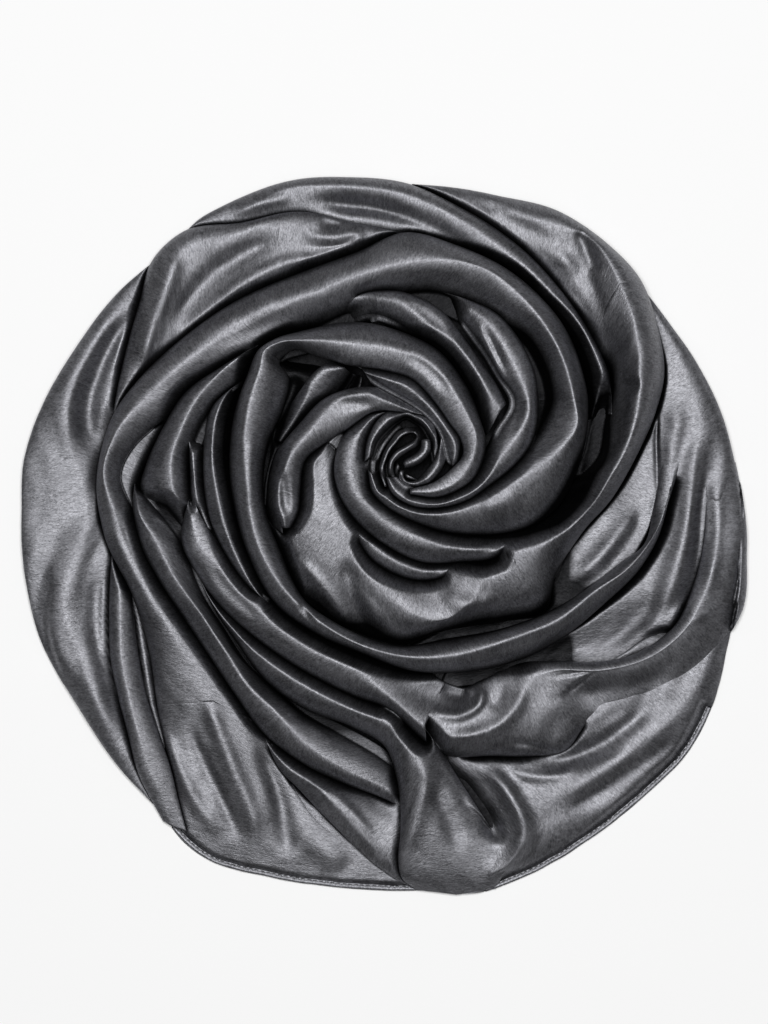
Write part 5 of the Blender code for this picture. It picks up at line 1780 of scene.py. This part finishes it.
def stitches(name, s, seam, ground, material):
    """Machine stitches laid along a hem: short rounded lengths of thread."""
    bm = bmesh.new()
    count = int(s[-1] / STITCH)
    for k in range(count):
        mid = (k + 0.5) * STITCH + 0.12 * math.sin(k * 2.3)
        half = STITCH * 0.36
        pts = []
        for q in np.linspace(-1, 1, 6):
            pos = mid + q * half
            x, y, z = (np.interp(pos, s, seam[:, i]) for i in range(3))
            z = ground(x, y) + 0.16 * (1 - q * q) - 0.05
            pts.append(np.array([x, y, z]))
        pts = np.array(pts) * 0.001
        rings = []
        for i, p in enumerate(pts):
            d = pts[min(i + 1, 5)] - pts[max(i - 1, 0)]
            d /= np.linalg.norm(d)
            side = np.array([-d[1], d[0], 0])
            side /= np.linalg.norm(side)
            up = np.cross(d, side)
            thick = 0.00020 * (0.35 if i in (0, 5) else 1.0)
            rings.append([bm.verts.new(p + (side * math.cos(a) + up * math.sin(a)) * thick)
                          for a in np.arange(6) * math.pi / 3])
        for a, b in zip(rings, rings[1:]):
            for i in range(6):
                bm.faces.new((a[i], a[(i + 1) % 6], b[(i + 1) % 6], b[i]))
        bm.faces.new(rings[0][::-1])
        bm.faces.new(rings[-1])
    mesh = bpy.data.meshes.new(name)
    bmesh.ops.recalc_face_normals(bm, faces=bm.faces)
    bm.to_mesh(mesh)
    bm.free()
    for p in mesh.polygons:
        p.use_smooth = True
    mesh.materials.append(material)
    obj = bpy.data.objects.new(name, mesh)
    bpy.context.scene.collection.objects.link(obj)
    return obj


def landed(name, grid, along, rows, top):
    """Bring the ends of a stretch down to the surface that they run out on."""
    weld = np.zeros(grid.shape[:2])
    for where, which, far in LANDINGS:
        if where == name:
            from_end = along - along[0] if which == "start" else along[-1] - along
            weld = np.maximum(weld, np.clip(1 - from_end / far, 0, 1)[:, None])
    for where, which, start, end, share in RUN_OUTS:
        if where == name:
            lengthways = np.clip((rows - start) / 1.2, 0, 1) * np.clip((end - rows) / 1.2 + (end >= rows[-1]), 0, 1)
            k = np.linspace(1, 0, grid.shape[1]) if which == "outer" else np.linspace(0, 1, grid.shape[1])
            sideways = np.clip((k - 1 + share) / share, 0, 1)
            weld = np.maximum(weld, lengthways[:, None] * sideways[None])
    if not weld.any():
        return weld
    ground = at(softened(top, 3), grid[..., 0], grid[..., 1])
    on = np.clip(ground - 1, 0, 1)
    w = weld * weld * (3 - 2 * weld) * on
    ground = np.minimum(ground + 0.15, grid[..., 2] + 1.5) - 0.75 * np.clip(w * 2 - 1, 0, 1)
    grid[..., 2] = grid[..., 2] * (1 - w) + ground * w
    return w


def build():
    lengths = {name: Length(name) for name in LENGTHS}
    hem_of = {panel: (hem_name, start, end) for hem_name, panel, start, end in HEMS}
    natural, top = {}, np.zeros((CELLS, CELLS))
    for name, length, first, last in STACK:
        strip = lengths[length]
        grid, uv, rows = stretch(name, strip, first, last)
        weld = landed(name, grid, uv[:, 0, 0], rows, top)
        natural[name] = (grid, uv, weld)
        top = laid(grid, top)

    maps, spans = [], []
    pieces, made = [], {}
    hem_lines = {}
    nothing = np.full((CELLS, CELLS), CLEAR)

    def over(length, first, last):
        """Lowest surface above, leaving out the stretches that this one runs on into."""
        above = nothing.copy()
        for (other, a, b), field in zip(spans, maps):
            if not (other == length and (a == last or b == first)):
                np.minimum(above, field, out=above)
        return above

    for name, length, first, last in reversed(STACK):
        strip = lengths[length]
        above = over(length, first, last)
        if name in hem_of:
            hem_name, start, end = hem_of[name]
            if start is None:
                line = strip.surface(np.array([float(end)]), np.linspace(90, 6, 40), np.linspace(4, 82, 36))[0]
                line[:, 2] = 1.3
            else:
                line = strip.surface(np.linspace(start, end, 90), (90,), (90,))[:, 0]
                line[:, 2] = 1.3
            grid, uv, s, seam = hem(hem_name, name, line)
            limit = softened(spread(above, RISE), 2) - GAP
            inside = spread(np.where(above < CLEAR, CLEAR, 0.0), 1.0)
            ceiling = at(limit, grid[..., 0], grid[..., 1])
            grid[..., 2] = np.minimum(grid[..., 2], np.maximum(ceiling, 0.3))
            piece = Piece(hem_name, grid, uv, kept_quads(grid, at(inside, grid[..., 0], grid[..., 1])))
            pieces.append(piece)
            field = nothing.copy()
            drawn(piece.grid, piece.quads, field)
            maps.append(field)
            spans.append((hem_name, 0, 0))
            above = np.minimum(above, field)
            hem_lines[hem_name] = (s, seam, piece)
        limit = softened(spread(above, RISE), 2) - GAP
        inside = spread(np.where(above < CLEAR, CLEAR, 0.0), 1.0)
        grid, uv, weld = natural[name]
        sides = (strip.outer != "hem", strip.inner == "lip")
        piece = finish_stretch(name, grid, uv, limit, inside, sides)
        if not piece.quads.any():
            print("nothing shows of", name)
            continue
        pieces.append(piece)
        # where it runs out into what lies under it, that cloth isn't held down
        weld = np.pad(weld, [(0, 0), [len(ROLL_UNDER) * side for side in sides]], mode="edge")
        free = np.maximum(np.maximum(weld[:-1, :-1], weld[1:, 1:]), np.maximum(weld[1:, :-1], weld[:-1, 1:])) < 0.45
        field = nothing.copy()
        drawn(piece.grid, piece.quads & free, field)
        maps.append(field)
        spans.append((length, first, last))
    above = nothing.copy()
    for field in maps:
        np.minimum(above, field, out=above)

    def rim_of(angle):
        reach = np.zeros(len(angle))
        for k, a in enumerate(angle):
            r = np.arange(120, 200, 0.4)
            i = (np.cos(a) * r / CELL + CELLS / 2).astype(int)
            j = (np.sin(a) * r / CELL + CELLS / 2).astype(int)
            full = above[i, j] < CLEAR
            reach[k] = r[full].max() if full.any() else 150
        smooth = np.convolve(np.pad(reach, 4, mode="wrap"), np.ones(9) / 9, "valid")
        inset = np.full(len(angle), 0.8)
        for s, seam, piece in hem_lines.values():
            a = np.arctan2(seam[:, 1], seam[:, 0])
            mid, half = (a.max() + a.min()) / 2, (a.max() - a.min()) / 2
            off = np.abs((angle - mid + math.pi) % (2 * math.pi) - math.pi)
            k = np.clip(1 - (off - half - 0.03) / 0.12, 0, 1)
            inset = np.maximum(inset, 0.8 + 8.5 * k * k * (3 - 2 * k))
        return smooth - inset

    cloth = satin("satin", 1.38, 0.51, 1.1, 1.6)
    # painted shade: the layers below are the same satin at a small fraction of its tone, so the hollows where they
    # show read as deep shadow
    inner = satin("satin_inside", 0.12, 0.6, 1.0, 1.0)
    thread = thread_material()
    nodes = set(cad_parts)
    spare = {}
    for node in nodes:
        for tail in ("_b", "_c", "_d", "_e"):
            if node.endswith(tail) and node[:-2] in nodes:
                spare.setdefault(node[:-2], []).append(node)
    threads = {}
    for hem_name, (s, seam, piece) in hem_lines.items():
        flat = piece.grid.reshape(-1, 3)

        def ground(x, y, flat=flat):
            return float(flat[((flat[:, 0] - x) ** 2 + (flat[:, 1] - y) ** 2).argmin(), 2])

        threads[hem_name] = stitches("thread_" + hem_name, s, seam, ground, thread)
        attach(threads[hem_name], "root")
    total = 0
    # height of the folds round about, from which the depth painted as shade in the hollows is measured
    around = np.maximum(broad(top, 5.5), broad(filled(top, 7.8), 1.3) - 2.2)
    for piece in pieces:
        obj, points, faces = piece_object(piece, cloth, around)
        total += len(faces) * 2
        cols = piece.quads.any(axis=0).sum()
        shell = obj.modifiers.new("cloth", "SOLIDIFY")
        shell.thickness = CLOTH * 0.001
        shell.offset = -1
        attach(obj, "root")
        node = piece.name
        if node in nodes:
            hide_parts(node, *spare.get(node, []))
        made[piece.name] = obj
    points, faces, uv = hidden_core(above, rim_of)
    core = mesh_of("layers_inside", points, faces[:, ::-1], uv, inner)
    bm = bmesh.new()
    bm.from_mesh(core.data)
    bmesh.ops.holes_fill(bm, edges=[e for e in bm.edges if e.is_boundary], sides=0)
    bmesh.ops.recalc_face_normals(bm, faces=bm.faces)
    bm.to_mesh(core.data)
    bm.free()
    for p in core.data.polygons:
        p.use_smooth = True
    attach(core, "root")
    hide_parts("hidden_layers")
    print("triangles", total + 2 * len(faces))


build()

# ------------------------------------------------------- floor, light, camera
floor_mesh = bpy.data.meshes.new("floor")
half = 3.0
floor_mesh.from_pydata([(-half, -half, 0), (half, -half, 0), (half, half, 0), (-half, half, 0)], [], [(0, 1, 2, 3)])
floor = bpy.data.objects.new("floor", floor_mesh)
bpy.context.scene.collection.objects.link(floor)
paper = bpy.data.materials.new("pale_floor")
paper.use_nodes = True
paper.node_tree.nodes["Principled BSDF"].inputs["Base Color"].default_value = (0.90, 0.90, 0.90, 1)
paper.node_tree.nodes["Principled BSDF"].inputs["Roughness"].default_value = 0.9
paper.node_tree.nodes["Principled BSDF"].inputs["Specular IOR Level"].default_value = 0.1
floor_mesh.materials.append(paper)


def soft_light(name, place, aim, size, power):
    data = bpy.data.lights.new(name, "AREA")
    data.shape = "DISK"
    data.size = size
    data.energy = power
    obj = bpy.data.objects.new(name, data)
    obj.location = place
    d = np.array(aim) - np.array(place)
    obj.rotation_euler = Vector(d).to_track_quat("-Z", "Y").to_euler()
    bpy.context.scene.collection.objects.link(obj)
    return obj


soft_light("key", (0.0, 0.45, 3.4), (0, 0, 0), 2.0, 128)
world = bpy.data.worlds.new("studio")
world.use_nodes = True
world.node_tree.nodes["Background"].inputs["Color"].default_value = (1, 1, 1, 1)
world.node_tree.nodes["Background"].inputs["Strength"].default_value = 0.05
bpy.context.scene.world = world
bpy.context.scene.view_settings.view_transform = "Standard"

HEIGHT = 3.0
camera_data = bpy.data.cameras.new("camera")
camera_data.sensor_fit = "VERTICAL"
camera_data.sensor_height = 36.0
camera_data.lens = 36.0 * (HEIGHT - 0.014) / (1024 * UNIT * 0.001)
camera_data.clip_end = 20
camera = bpy.data.objects.new("camera", camera_data)
camera.location = (0.0, (CHART_CENTRE[1] - 512) * UNIT * 0.001, HEIGHT)
bpy.context.scene.collection.objects.link(camera)
bpy.context.scene.camera = camera
